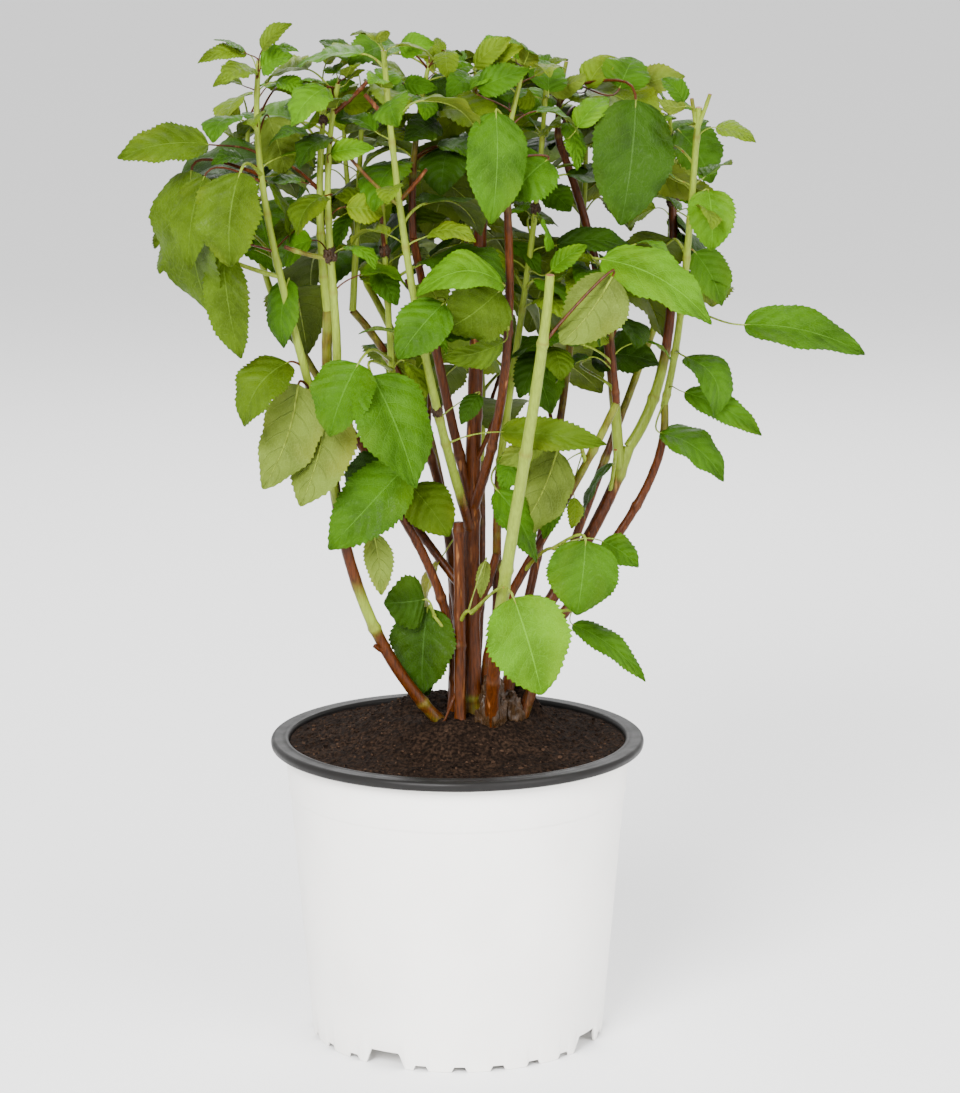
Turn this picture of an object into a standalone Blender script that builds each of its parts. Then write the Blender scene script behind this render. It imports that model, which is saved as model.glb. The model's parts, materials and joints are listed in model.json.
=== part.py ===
"""Hydrangea shrub in its round nursery pot.

Several woody stems rise from one crown in the soil, spread into boughs and
carry leafy green shoots.  Every limb, every leafy shoot, the pot, its rim and
the soil is one closed solid.  Sizes in the tables are millimetres, the model
is in metres, +Z is up and the origin is the centre of the pot's underside.
"""

import math
import random
from collections import namedtuple

import bmesh
import bpy
from mathutils import Matrix, Vector
from mathutils.bvhtree import BVHTree

MM = 0.001
COLLECTION = "Hydrangea"

# ---- pot, rim and soil, in metres ------------------------------------------
POT_HEIGHT = 0.212            # ground to the top of the rim
RIM_RADIUS = 0.130            # outside of the rolled lip
RIM_HEIGHT = 0.0075           # depth of the rolled lip
WALL_TOP_RADIUS = 0.119       # outside of the wall, just under the lip
WALL_FOOT_RADIUS = 0.102      # outside of the wall, on the ground
WALL = 0.0018                 # plastic thickness
STACK_BAND = 0.031            # height of the slightly wider band under the lip
STACK_STEP = 0.0008           # how far that band stands proud
FOOT_DISC_RADIUS = 0.068      # middle of the base, which touches the ground
CHANNEL_HEIGHT = 0.012        # drain channel round that disc
SOIL_EDGE = 0.2042            # height of the soil at the rim
SOIL_TOP = 0.227              # height of the mound round the stems
MOUND_RADIUS = 0.046          # flat top of the mound
GAP = 0.0003                  # clearance between pieces that touch
POT_SIDES = 40

# ---- drain notches in the foot of the wall ---------------------------------
LARGE_NOTCHES = 4
LARGE_NOTCH_TURN = math.radians(-29)
LARGE_NOTCH = (0.030, 0.011)  # width at the ground, height
SMALL_NOTCHES = 5             # between two large ones
SMALL_NOTCH = (0.008, 0.0035)

# ---- leaf and stem rule, in metres and degrees -----------------------------
LIMB_SIDES = 2                # bevel resolution: 8 sides
SHOOT_SIDES = 1               # bevel resolution: 6 sides
STEM_STEPS = 5                # even steps along a stem
PETIOLE_RADIUS = 0.0013
PETIOLE_RISE = 0.010          # a petiole leaves its stem this far below the blade
LEAF_STATIONS = (0.2, 0.48, 0.8)
MARGIN = 0.0006               # air kept round every leaf
ROOT_CLEAR = 0.008            # no leaf sits nearer than this to its shoot's foot
NUDGES = (0, -8, 8, -16, 16, -26, 26, -38, 38)
NODE_SPACING = 0.033          # between two pairs of leaves
LEAF_LENGTH = (0.056, 0.090)
LEAF_ASPECT = 0.72
TRIES = ((0, 1.0), (28, 0.95), (-28, 0.95), (55, 0.85), (-55, 0.85), (12, 0.65))
CROWN_CENTRE = Vector((-0.008, 0.0, 0.556))
CROWN_REACH = (0.203, 0.152)  # sideways, up and down
CROWN_POWER = 2.6
CROWN_TILT = 0.2              # how much lower the crown is towards the back

Stem = namedtuple("Stem", "name parent at foot low high tip radii bare seed", defaults=(0,))
# at: share of the way up the parent; foot: place on the mound where there is no
# parent; low and high: the two places that pull the stem into its bend;
# bare: share of a shoot's length that carries no leaves; seed: starts the rule
# that deals out its leaves.

LIMBS = [
    Stem("trunk", None, 0, (12, -15), (6, -12, 321), (13, -7, 456),
         (17, 0, 596), (6.6, 4.2), 1),
    Stem("limb_left", None, 0, (-7, -28), (-70, -43, 288), (-92, -56, 384),
         (-85, -65, 517), (4.2, 3.5), 1),
    Stem("limb_left_low", None, 0, (-5, -12), (4, -17, 276), (-8, -25, 322),
         (-38, -35, 374), (3.5, 3.1), 1),
    Stem("limb_left_back", None, 0, (2, 12), (3, 15, 358), (-21, 2, 454),
         (-70, -26, 512), (3.6, 2.6), 1),
    Stem("limb_front", None, 0, (23, -33), (25, -63, 316), (45, -89, 407),
         (56, -110, 498), (4.7, 3.6), 1),
    Stem("limb_centre_right", None, 0, (15, 4), (34, 1, 270), (24, -1, 333),
         (29, -4, 399), (3.4, 3.0), 1),
    Stem("limb_right_front", None, 0, (28, -9), (-3, -8, 282), (61, -14, 340),
         (108, -25, 449), (3.7, 2.7), 1),
    Stem("limb_right", None, 0, (33, 5), (30, 8, 274), (91, 18, 324),
         (119, 35, 408), (4.8, 4.2), 1),
    Stem("limb_right_outer", None, 0, (41, 14), (69, 18, 318), (150, 22, 367),
         (143, 25, 440), (3.6, 2.8), 1),
    Stem("limb_back_right", None, 0, (29, 29), (54, 43, 301), (72, 63, 400),
         (84, 90, 520), (3.6, 2.5), 1),
    Stem("limb_far_right", None, 0, (38, 38), (70, 54, 304), (103, 75, 390),
         (138, 100, 480), (3.6, 2.6), 1),
    Stem("limb_back", None, 0, (11, 32), (20, 51, 328), (18, 77, 427),
         (6, 112, 520), (3.6, 2.6), 1),
    Stem("limb_back_left", None, 0, (-4, 26), (4, 35, 341), (-16, 57, 438),
         (-64, 92, 515), (3.6, 2.6), 1),
    Stem("cut_stem_front", None, 0, (2, -34), (2, -33, 274), (2, -32, 323),
         (1, -31, 368), (4.0, 3.7), 1),
    Stem("cut_stem_right", None, 0, (44, -8), (48, -7, 237), (53, -5, 248),
         (58, -4, 256), (4.6, 3.6), 1),
    Stem("cut_stub", "trunk", 0.22, None, (18, -11, 312), (24, -9, 328),
         (27, -8, 341), (2.9, 2.9), 1),
    Stem("bough_far_left", "trunk", 0.27, None, (-30, 5, 357), (-74, 21, 420),
         (-122, 36, 500), (3.2, 2.6), 1),
    Stem("bough_left", "trunk", 0.45, None, (-5, -14, 436), (-17, -24, 500),
         (-29, -40, 563), (3.6, 2.7), 1),
    Stem("bough_centre", "trunk", 0.44, None, (33, -45, 439), (40, -66, 509),
         (32, -74, 610), (3.6, 2.5), 1),
    Stem("bough_right", "limb_right", 0.93, None, (107, 28, 479), (97, 24, 553),
         (70, 20, 619), (3.9, 2.6), 1),
    Stem("bough_right_green", "limb_right", 1.0, None, (149, 45, 449), (151, 53, 510),
         (149, 60, 576), (4.1, 2.8), 1),
]

SHOOTS = [
    Stem("shoot_trunk", "trunk", 1.0, None, (12, 0, 625), (11, 1, 653),
         (14, 4, 680), (3.3, 1.5), 0.1, 5),
    Stem("shoot_left", "limb_left", 0.62, None, (-97, -78, 491), (-138, -92, 584),
         (-127, -96, 684), (3.4, 1.7), 0.45, 9),
    Stem("shoot_left_mid", "limb_left", 1.0, None, (-91, -64, 566), (-92, -59, 612),
         (-86, -50, 655), (3.3, 1.6), 0.15, 3),
    Stem("shoot_left_inner", "limb_left", 0.79, None, (-67, -80, 502), (-96, -92, 577),
         (-76, -96, 669), (3.4, 1.6), 0.35, 8),
    Stem("shoot_front_left", "trunk", 0.4, None, (-17, -63, 454), (-36, -99, 552),
         (-46, -118, 692), (3.6, 1.7), 0.35, 4),
    Stem("shoot_left_low", "limb_left_low", 1.0, None, (-42, -38, 445), (-46, -43, 520),
         (-50, -50, 600), (3.0, 1.6), 0.0, 7),
    Stem("shoot_left_back", "limb_left_back", 1.0, None, (-67, -29, 557), (-65, -31, 604),
         (-62, -34, 652), (2.5, 1.5), 0.05, 3),
    Stem("shoot_bough_left", "bough_left", 1.0, None, (-31, -43, 601), (-27, -41, 639),
         (-18, -36, 678), (2.6, 1.5), 0.0, 6),
    Stem("shoot_centre", "bough_centre", 1.0, None, (33, -74, 630), (37, -71, 652),
         (44, -64, 676), (2.4, 1.4), 0.0, 9),
    Stem("shoot_centre_right", "limb_centre_right", 1.0, None, (37, -9, 473), (56, -14, 564),
         (60, -18, 673), (2.9, 1.5), 0.15, 11),
    Stem("shoot_front", "limb_front", 1.0, None, (58, -113, 513), (60, -117, 529),
         (61, -120, 548), (3.5, 2.9), 2.0),
    Stem("shoot_right_front", "limb_right_front", 1.0, None, (107, -26, 463), (105, -27, 480),
         (104, -26, 500), (2.6, 1.6), 0.0, 9),
    Stem("shoot_right", "bough_right", 1.0, None, (67, 20, 633), (69, 18, 652),
         (74, 14, 676), (2.5, 1.4), 0.0, 16),
    Stem("shoot_right_outer", "limb_right_outer", 1.0, None, (155, 8, 495), (157, -11, 571),
         (161, -34, 649), (2.7, 2.1), 0.12, 4),
    Stem("shoot_right_green", "bough_right_green", 1.0, None, (150, 61, 585), (149, 61, 607),
         (146, 60, 640), (2.7, 1.5), 0.0, 5),
    Stem("shoot_back_right", "limb_back_right", 1.0, None, (89, 99, 557), (91, 107, 597),
         (90, 112, 640), (2.4, 1.4), 0.0, 5),
    Stem("shoot_far_right", "limb_far_right", 1.0, None, (150, 108, 513), (153, 109, 557),
         (148, 104, 612), (2.5, 1.4), 0.0, 11),
    Stem("shoot_back", "limb_back", 1.0, None, (2, 125, 560), (-2, 133, 599),
         (-6, 136, 638), (2.5, 1.4), 0.0, 6),
    Stem("shoot_back_left", "limb_back_left", 1.0, None, (-76, 105, 558), (-81, 113, 599),
         (-80, 116, 636), (2.5, 1.4), 0.0, 10),
    Stem("shoot_far_left", "bough_far_left", 1.0, None, (-139, 37, 540), (-146, 37, 587),
         (-142, 36, 640), (2.5, 1.4), 0.0, 9),
    Stem("shoot_middle", "limb_back", 0.55, None, (21, 65, 450), (13, 62, 543),
         (-10, 62, 668), (2.5, 1.4), 0.25, 1),
    Stem("sprig_right", "bough_right", 0.5, None, (98, 10, 518), (97, -7, 527),
         (96, -26, 542), (2.3, 1.6), 0.3, 5),
    Stem("sprig_centre", "bough_centre", 0.6, None, (31, -75, 519), (29, -85, 532),
         (27, -88, 540), (2.2, 1.6), 2.0),
    Stem("sprig_mid_right", "limb_right_front", 0.86, None, (85, -27, 418), (83, -32, 425),
         (80, -36, 426), (2.0, 1.5), 2.0),
    Stem("sprig_node_right", "limb_right", 0.86, None, (108, 21, 393), (109, 17, 405),
         (109, 14, 410), (2.0, 1.5), 2.0),
    Stem("sprig_low_left", "cut_stem_front", 0.38, None, (-3, -33, 288), (-9, -32, 294),
         (-16, -30, 303), (1.9, 1.4), 2.0),
    Stem("sprig_low_front", "cut_stem_front", 0.5, None, (5, -40, 307), (7, -45, 311),
         (10, -46, 308), (1.9, 1.4), 2.0),
    Stem("sprig_low_right", "limb_right_front", 0.55, None, (55, -22, 344), (62, -29, 351),
         (66, -34, 350), (1.9, 1.4), 2.0),
    Stem("sprig_foot_right", "limb_right", 0.42, None, (67, 1, 298), (75, -6, 302),
         (80, -10, 302), (1.9, 1.4), 2.0),
]

Leaf = namedtuple("Leaf", "stem base tip width turn arch")
# The leaves that give the shrub its face, each set by hand: the place of the
# blade's base and tip, its width, its roll about the midrib and its arch.

LEAVES = [
    Leaf("shoot_left", (-160, -96, 630), (-216, -104, 622), 26, -40, 0.12),
    Leaf("shoot_left", (-135, -96, 688), (-167, -100, 682), 20, -20, 0.2),
    Leaf("shoot_left", (-124, -98, 692), (-104, -102, 709), 20, 50, 0.15),
    Leaf("shoot_left", (-131, -106, 680), (-149, -122, 672), 24, -20, 0.15),
    Leaf("shoot_left", (-141, -110, 648), (-155, -130, 634), 25, 0, 0.25),
    Leaf("shoot_left", (-165, -106, 616), (-159, -108, 525), 60, -30, 0.3),
    Leaf("shoot_left", (-163, -124, 611), (-172, -130, 553), 30, -25, 0.1),
    Leaf("shoot_left", (-134, -126, 607), (-143, -136, 555), 42, -15, 0.12),
    Leaf("shoot_left", (-151, -118, 560), (-141, -114, 490), 30, -30, 0.1),
    Leaf("shoot_left", (-124, -84, 604), (-110, -76, 562), 26, 0, 0.1),
    Leaf("shoot_left", (-106, -78, 540), (-110, -78, 494), 30, -40, 0.1),
    Leaf("shoot_left", (-105, -98, 490), (-139, -110, 446), 36, -30, 0.25),
    Leaf("shoot_left", (-103, -108, 476), (-127, -118, 407), 44, 150, 0.12),
    Leaf("shoot_left", (-84, -112, 466), (-100, -120, 396), 46, 150, 0.12),
    Leaf("shoot_left", (-122, -78, 646), (-112, -66, 608), 30, 180, 0.1),
    Leaf("shoot_left_inner", (-84, -112, 668), (-111, -124, 650), 32, 10, 0.15),
    Leaf("shoot_left_inner", (-96, -88, 678), (-124, -62, 666), 30, 0, 0.15),
    Leaf("shoot_left_inner", (-88, -110, 632), (-106, -118, 614), 28, 0, 0.2),
    Leaf("shoot_left_inner", (-74, -104, 632), (-50, -106, 628), 18, 20, 0.2),
    Leaf("shoot_left_mid", (-85, -58, 680), (-68, -52, 692), 26, 0, 0.2),
    Leaf("shoot_left_mid", (-85, -72, 598), (-102, -86, 574), 30, 0, 0.2),
    Leaf("shoot_left_low", (-48, -72, 476), (-24, -86, 401), 60, -12, 0.05),
    Leaf("shoot_left_low", (-64, -58, 479), (-84, -70, 433), 44, -25, 0.08),
    Leaf("shoot_left_low", (-34, -50, 393), (-86, -66, 352), 40, -55, 0.12),
    Leaf("shoot_left_low", (-46, -34, 408), (-74, -26, 378), 36, -45, 0.15),
    Leaf("shoot_left_low", (-30, -26, 388), (-6, -40, 362), 32, 30, 0.1),
    Leaf("shoot_left_low", (-56, -34, 364), (-51, -38, 322), 20, 180, 0.08),
    Leaf("shoot_front_left", (-8, -100, 527), (-38, -112, 492), 36, -25, 0.08),
    Leaf("shoot_front_left", (-38, -122, 696), (-14, -128, 688), 18, -20, 0.15),
    Leaf("shoot_front_left", (-50, -122, 695), (-68, -126, 700), 16, 20, 0.2),
    Leaf("shoot_front_left", (30, -60, 435), (100, -74, 429), 30, 30, 0.15),
    Leaf("sprig_centre", (31, -98, 539), (-26, -112, 533), 36, -15, 0.28),
    Leaf("sprig_centre", (29, -86, 530), (-13, -84, 515), 40, -15, 0.2),
    Leaf("shoot_centre_right", (31, -45, 401), (57, -50, 344), 30, 10, 0.08),
    Leaf("shoot_centre", (36, -84, 650), (32, -96, 578), 42, -25, 0.08),
    Leaf("shoot_centre", (40, -66, 624), (64, -78, 602), 30, 0, 0.2),
    Leaf("shoot_front", (68, -120, 512), (119, -126, 516), 42, -120, 0.25),
    Leaf("shoot_right_front", (90, -42, 482), (136, -46, 478), 40, 40, 0.12),
    Leaf("sprig_right", (96, -60, 550), (169, -72, 508), 46, 35, 0.16),
    Leaf("shoot_right", (114, -34, 652), (112, -50, 571), 56, 40, 0.06),
    Leaf("shoot_right", (74, -24, 638), (80, -44, 608), 18, 0, 0.1),
    Leaf("shoot_right", (62, -14, 660), (86, -26, 670), 20, -140, 0.1),
    Leaf("shoot_right", (90, 0, 662), (110, -16, 680), 24, 40, 0.2),
    Leaf("shoot_right_outer", (172, -36, 636), (199, -40, 626), 19, 30, 0.12),
    Leaf("shoot_right_outer", (152, -32, 650), (134, -30, 655), 14, 150, 0.2),
    Leaf("shoot_right_outer", (134, -42, 611), (172, -48, 596), 30, -140, 0.12),
    Leaf("shoot_right_outer", (172, -16, 592), (174, -26, 552), 34, 50, 0.2),
    Leaf("shoot_right_outer", (193, -30, 503), (275, -32, 483), 34, 45, 0.12),
    Leaf("shoot_right_outer", (160, -14, 479), (165, -24, 437), 27, 40, 0.5),
    Leaf("shoot_right_outer", (155, -4, 453), (208, -10, 424), 25, 25, 0.16),
    Leaf("shoot_right_outer", (140, 20, 423), (184, 12, 392), 34, 35, 0.16),
    Leaf("shoot_right_green", (152, 40, 627), (174, 30, 592), 38, 50, 0.12),
    Leaf("shoot_right_green", (128, 48, 668), (156, 36, 650), 36, 20, 0.15),
    Leaf("shoot_right_outer", (168, 30, 545), (188, 26, 508), 38, 50, 0.1),
    Leaf("sprig_low_front", (38, -62, 328), (57, -70, 263), 57, 25, 0.05),
    Leaf("sprig_low_left", (-16, -21, 307), (-5, -21, 248), 38, 0, 0.06),
    Leaf("sprig_low_left", (-27, -29, 304), (-54, -30, 298), 44, -75, 0.06),
    Leaf("sprig_low_left", (-36, -14, 279), (-22, -12, 245), 24, 0, 0.06),
    Leaf("sprig_mid_right", (76, -40, 418), (58, -44, 349), 30, 180, 0.12),
    Leaf("sprig_mid_right", (71, -28, 401), (62, -30, 357), 18, 20, 0.08),
    Leaf("sprig_node_right", (107, 8, 402), (90, 4, 351), 16, 60, 0.1),
    Leaf("sprig_low_right", (82, -50, 359), (83, -58, 307), 48, 35, 0.05),
    Leaf("sprig_low_right", (99, -22, 353), (124, -28, 336), 24, 40, 0.1),
    Leaf("sprig_foot_right", (84, -22, 297), (129, -34, 263), 27, 35, 0.12),
]


# ---- small helpers ----------------------------------------------------------
def metres(place):
    return Vector(place) * MM


def material(name, colour, roughness):
    """One plain Principled finish for one object."""
    finish = bpy.data.materials.new(name)
    finish.use_nodes = True
    shader = finish.node_tree.nodes["Principled BSDF"]
    shader.inputs["Base Color"].default_value = (*colour, 1.0)
    shader.inputs["Roughness"].default_value = roughness
    return finish


def add_object(name, mesh, collection):
    thing = bpy.data.objects.new(name, mesh)
    collection.objects.link(thing)
    return thing


def evaluated_mesh(thing):
    bpy.context.view_layer.update()
    graph = bpy.context.evaluated_depsgraph_get()
    return bpy.data.meshes.new_from_object(thing.evaluated_get(graph), depsgraph=graph)


def remove(thing):
    data = thing.data
    bpy.data.objects.remove(thing)
    if isinstance(data, bpy.types.Mesh):
        bpy.data.meshes.remove(data)
    else:
        bpy.data.curves.remove(data)


def touch_tree(mesh):
    """The mesh's faces, ready for a quick test of whether another mesh touches them."""
    corners = [v.co.copy() for v in mesh.vertices]
    return BVHTree.FromPolygons(corners, [tuple(p.vertices) for p in mesh.polygons])


def largest_body(mesh):
    """Drop every loose scrap and sealed hollow, and keep the biggest shell."""
    bm = bmesh.new()
    bm.from_mesh(mesh)
    left = set(bm.verts)
    bodies = []
    while left:
        body = [left.pop()]
        for vertex in body:
            for edge in vertex.link_edges:
                other = edge.other_vert(vertex)
                if other in left:
                    left.remove(other)
                    body.append(other)
        bodies.append(body)
    bodies.sort(key=len)
    scraps = [vertex for body in bodies[:-1] for vertex in body]
    bmesh.ops.delete(bm, geom=scraps, context="VERTS")
    bm.to_mesh(mesh)
    bm.free()


def is_closed(mesh):
    bm = bmesh.new()
    bm.from_mesh(mesh)
    closed = bool(bm.edges) and all(edge.is_manifold for edge in bm.edges)
    bm.free()
    return closed


def boolean(thing, operation, cutters):
    """Cut or join a thing with a collection, and put the result in its mesh.

    EXACT comes first; MANIFOLD takes over where its result has open edges.
    """
    step = thing.modifiers.new(operation.lower(), "BOOLEAN")
    step.operation = operation
    step.operand_type = "COLLECTION"
    step.collection = cutters
    for solver in ("EXACT", "MANIFOLD"):
        step.solver = solver
        mesh = evaluated_mesh(thing)
        if is_closed(mesh):
            break
    thing.modifiers.remove(step)
    old = thing.data
    thing.data = mesh
    bpy.data.meshes.remove(old)
    largest_body(thing.data)


def empty_collection(collection):
    for thing in list(collection.objects):
        remove(thing)
    bpy.data.collections.remove(collection)


# ---- turned pieces -----------------------------------------------------------
def turned(name, profile, ring, collection):
    """A profile of (radius, height) points turned about +Z.

    ring closes the profile on itself; otherwise it starts and ends on the axis.
    """
    count = len(profile)
    edges = [(i, i + 1) for i in range(count - 1)]
    if ring:
        edges.append((count - 1, 0))
    mesh = bpy.data.meshes.new(name)
    mesh.from_pydata([(r, 0.0, z) for r, z in profile], edges, [])
    thing = add_object(name, mesh, collection)
    screw = thing.modifiers.new("turn", "SCREW")
    screw.steps = POT_SIDES
    screw.render_steps = POT_SIDES
    screw.use_merge_vertices = True
    screw.merge_threshold = 0.00005
    screw.use_smooth_shade = False
    return thing


def wall_radius(height):
    """Outside of the plain wall, a straight cone from foot to lip."""
    share = height / (POT_HEIGHT - RIM_HEIGHT)
    return WALL_FOOT_RADIUS + (WALL_TOP_RADIUS - WALL_FOOT_RADIUS) * share


def notch_cutter(name, turn, width, height, collection):
    """A wedge across the foot of the wall, narrower at its top."""
    bm = bmesh.new()
    bmesh.ops.create_cube(bm, size=1.0)
    reach = 0.024
    for vertex in bm.verts:
        top = vertex.co.z > 0
        vertex.co.x *= reach
        vertex.co.y *= width * (0.7 if top else 1.06)
        vertex.co.z = height if top else -0.1 * height
    place = Matrix.Rotation(turn, 4, "Z") @ Matrix.Translation((WALL_FOOT_RADIUS, 0, 0))
    bmesh.ops.transform(bm, matrix=place, verts=bm.verts)
    mesh = bpy.data.meshes.new(name)
    bm.to_mesh(mesh)
    bm.free()
    add_object(name, mesh, collection)


def cut_notches(pot):
    """Four large drain notches round the foot, with small ones between them."""
    cutters = bpy.data.collections.new("notches")
    bpy.context.scene.collection.children.link(cutters)
    front = -math.pi / 2
    step = 2 * math.pi / LARGE_NOTCHES
    for i in range(LARGE_NOTCHES):
        turn = front + LARGE_NOTCH_TURN + i * step
        notch_cutter(f"notch_{i}", turn, *LARGE_NOTCH, cutters)
        for k in range(SMALL_NOTCHES):
            between = turn + step * (k + 1) / (SMALL_NOTCHES + 1)
            notch_cutter(f"notch_{i}_{k}", between, *SMALL_NOTCH, cutters)
    pot.data = evaluated_mesh(pot)
    pot.modifiers.clear()
    boolean(pot, "DIFFERENCE", cutters)
    empty_collection(cutters)


def make_pot(collection):
    """The wall, its stacking band, the drain channel and the foot disc."""
    top = POT_HEIGHT - RIM_HEIGHT
    band = top - STACK_BAND
    channel = CHANNEL_HEIGHT + WALL
    profile = [
        (0, WALL),
        (FOOT_DISC_RADIUS, WALL),
        (FOOT_DISC_RADIUS + 0.003, channel),
        (wall_radius(channel) - WALL, channel),
        (wall_radius(top) - WALL, top),
        (wall_radius(top) + STACK_STEP, top),
        (wall_radius(band) + STACK_STEP, band),
        (wall_radius(band), band - STACK_STEP),
        (WALL_FOOT_RADIUS, 0),
        (WALL_FOOT_RADIUS - WALL, 0),
        (wall_radius(CHANNEL_HEIGHT) - WALL, CHANNEL_HEIGHT),
        (FOOT_DISC_RADIUS + 0.005, CHANNEL_HEIGHT),
        (FOOT_DISC_RADIUS + 0.002, 0),
        (0, 0),
    ]
    pot = turned("pot", profile, False, collection)
    cut_notches(pot)
    return pot


def make_rim(collection):
    """The rolled lip, seated on the end of the wall."""
    seat = POT_HEIGHT - RIM_HEIGHT + GAP
    inner = WALL_TOP_RADIUS - WALL - 0.0004
    profile = [
        (inner, POT_HEIGHT - 0.0016),
        (inner + 0.0022, POT_HEIGHT),
        (RIM_RADIUS - 0.0035, POT_HEIGHT - 0.0006),
        (RIM_RADIUS, POT_HEIGHT - 0.0034),
        (RIM_RADIUS - 0.0012, POT_HEIGHT - RIM_HEIGHT),
        (RIM_RADIUS - 0.0034, POT_HEIGHT - RIM_HEIGHT),
        (RIM_RADIUS - 0.0042, seat),
        (inner, seat),
    ]
    return turned("rim", profile, True, collection)


def make_soil(collection):
    """Potting soil that fills the pot and is heaped round the stems."""
    floor = CHANNEL_HEIGHT + WALL + GAP
    edge = wall_radius(SOIL_EDGE) - WALL - GAP
    slope = 0.45
    shoulder = MOUND_RADIUS + (edge - MOUND_RADIUS) * slope
    profile = [
        (0, SOIL_TOP),
        (MOUND_RADIUS, SOIL_TOP),
        (shoulder, SOIL_EDGE + 0.28 * (SOIL_TOP - SOIL_EDGE)),
        (edge, SOIL_EDGE),
        (wall_radius(floor) - WALL - GAP, floor),
        (FOOT_DISC_RADIUS + 0.0025, floor),
        (FOOT_DISC_RADIUS - 0.0008, WALL + GAP),
        (0, WALL + GAP),
    ]
    return turned("soil", profile, False, collection)


def make_crown_wood(collection):
    """The gnarled knob of old wood between the feet of the stems."""
    bm = bmesh.new()
    bmesh.ops.create_icosphere(bm, subdivisions=2, radius=1.0)
    rng = random.Random(5)
    for vertex in bm.verts:
        swell = rng.uniform(0.82, 1.12)
        vertex.co = Vector((vertex.co.x * 8.5, vertex.co.y * 7.0, vertex.co.z * 17.0)) * swell
    bmesh.ops.translate(bm, verts=bm.verts, vec=(32, -21, SOIL_TOP / MM + 6))
    bmesh.ops.scale(bm, verts=bm.verts, vec=(MM, MM, MM))
    flat_cut(bm, SOIL_TOP + GAP)
    mesh = bpy.data.meshes.new("crown_wood")
    bm.to_mesh(mesh)
    bm.free()
    return add_object("crown_wood", mesh, collection)


# ---- stems --------------------------------------------------------------------
def flat_cut(bm, height):
    """Take away what lies below a height and close the cut with a flat face."""
    geometry = list(bm.verts) + list(bm.edges) + list(bm.faces)
    bmesh.ops.bisect_plane(bm, geom=geometry, plane_co=(0, 0, height), plane_no=(0, 0, 1),
                           clear_inner=True)
    rim = [edge for edge in bm.edges if edge.is_boundary]
    bmesh.ops.edgeloop_fill(bm, edges=rim)
    bmesh.ops.recalc_face_normals(bm, faces=bm.faces)


def bend(foot, elbow, tip, share):
    """A point of the curve that leaves foot towards elbow and ends at tip."""
    back = 1.0 - share
    return foot * (back * back) + elbow * (2 * back * share) + tip * (share * share)


def sweep(foot, low, high, tip, share):
    """A point of the curve that leaves foot towards low and reaches tip from high."""
    start = bend(foot, low, high, share)
    end = bend(low, high, tip, share)
    return start + (end - start) * share


class Limb:
    """A stem worked out in metres: its curve and its taper."""

    def __init__(self, stem, limbs):
        self.stem = stem
        if stem.parent:
            self.foot = limbs[stem.parent].point(stem.at)
        else:
            self.foot = Vector((stem.foot[0] * MM, stem.foot[1] * MM, SOIL_TOP - 0.004))
        self.low = metres(stem.low)
        self.high = metres(stem.high)
        self.tip = metres(stem.tip)
        self.thick = stem.radii[0] * MM
        self.thin = stem.radii[1] * MM
        places = [self.point(i / 8) for i in range(9)]
        self.length = sum((b - a).length for a, b in zip(places, places[1:]))

    def point(self, share):
        return sweep(self.foot, self.low, self.high, self.tip, share)

    def radius(self, share):
        """Even taper, with a flare over the first tenth of a stem that stands in soil."""
        flare = 0.0 if self.stem.parent else 0.22 * max(0.0, 1.0 - share / 0.1) ** 2
        return (self.thick + (self.thin - self.thick) * share) * (1.0 + flare)

    def tube(self, name, resolution, swell, collection):
        """The stem as a closed round tube, swell metres thicker and longer."""
        shares = [0.0, 0.05] + [(i + 1) / STEM_STEPS for i in range(STEM_STEPS)]
        points = [self.point(share) for share in shares]
        radii = [self.radius(share) + swell for share in shares]
        points[-1] = points[-1] + (points[-1] - points[-2]).normalized() * swell
        curve = bpy.data.curves.new(name, "CURVE")
        curve.dimensions = "3D"
        curve.bevel_depth = max(radii)
        curve.bevel_resolution = resolution
        curve.use_fill_caps = True
        spline = curve.splines.new("POLY")
        spline.points.add(len(points) - 1)
        for knot, point, radius in zip(spline.points, points, radii):
            knot.co = (*point, 1.0)
            knot.radius = radius / max(radii)
        guide = add_object(name, curve, collection)
        mesh = evaluated_mesh(guide)
        remove(guide)
        bm = bmesh.new()
        bm.from_mesh(mesh)
        bmesh.ops.remove_doubles(bm, verts=bm.verts, dist=0.000001)
        if not self.stem.parent:
            flat_cut(bm, SOIL_TOP + GAP)
        bmesh.ops.recalc_face_normals(bm, faces=bm.faces)
        bm.to_mesh(mesh)
        bm.free()
        return add_object(name, mesh, collection)


def seat_on_parent(thing, limb, limbs):
    """Cut a stem's foot to the shape of its parent, one gap clear of it."""
    cutters = bpy.data.collections.new("seat")
    bpy.context.scene.collection.children.link(cutters)
    limbs[limb.stem.parent].tube("seat", LIMB_SIDES, GAP, cutters)
    boolean(thing, "DIFFERENCE", cutters)
    empty_collection(cutters)


# ---- leaves ---------------------------------------------------------------------
def blade_width(share):
    """Half the blade's width over its greatest: broad near the base, drawn out at the tip."""
    return math.sin(math.pi * share ** 0.8) ** 0.75


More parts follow.
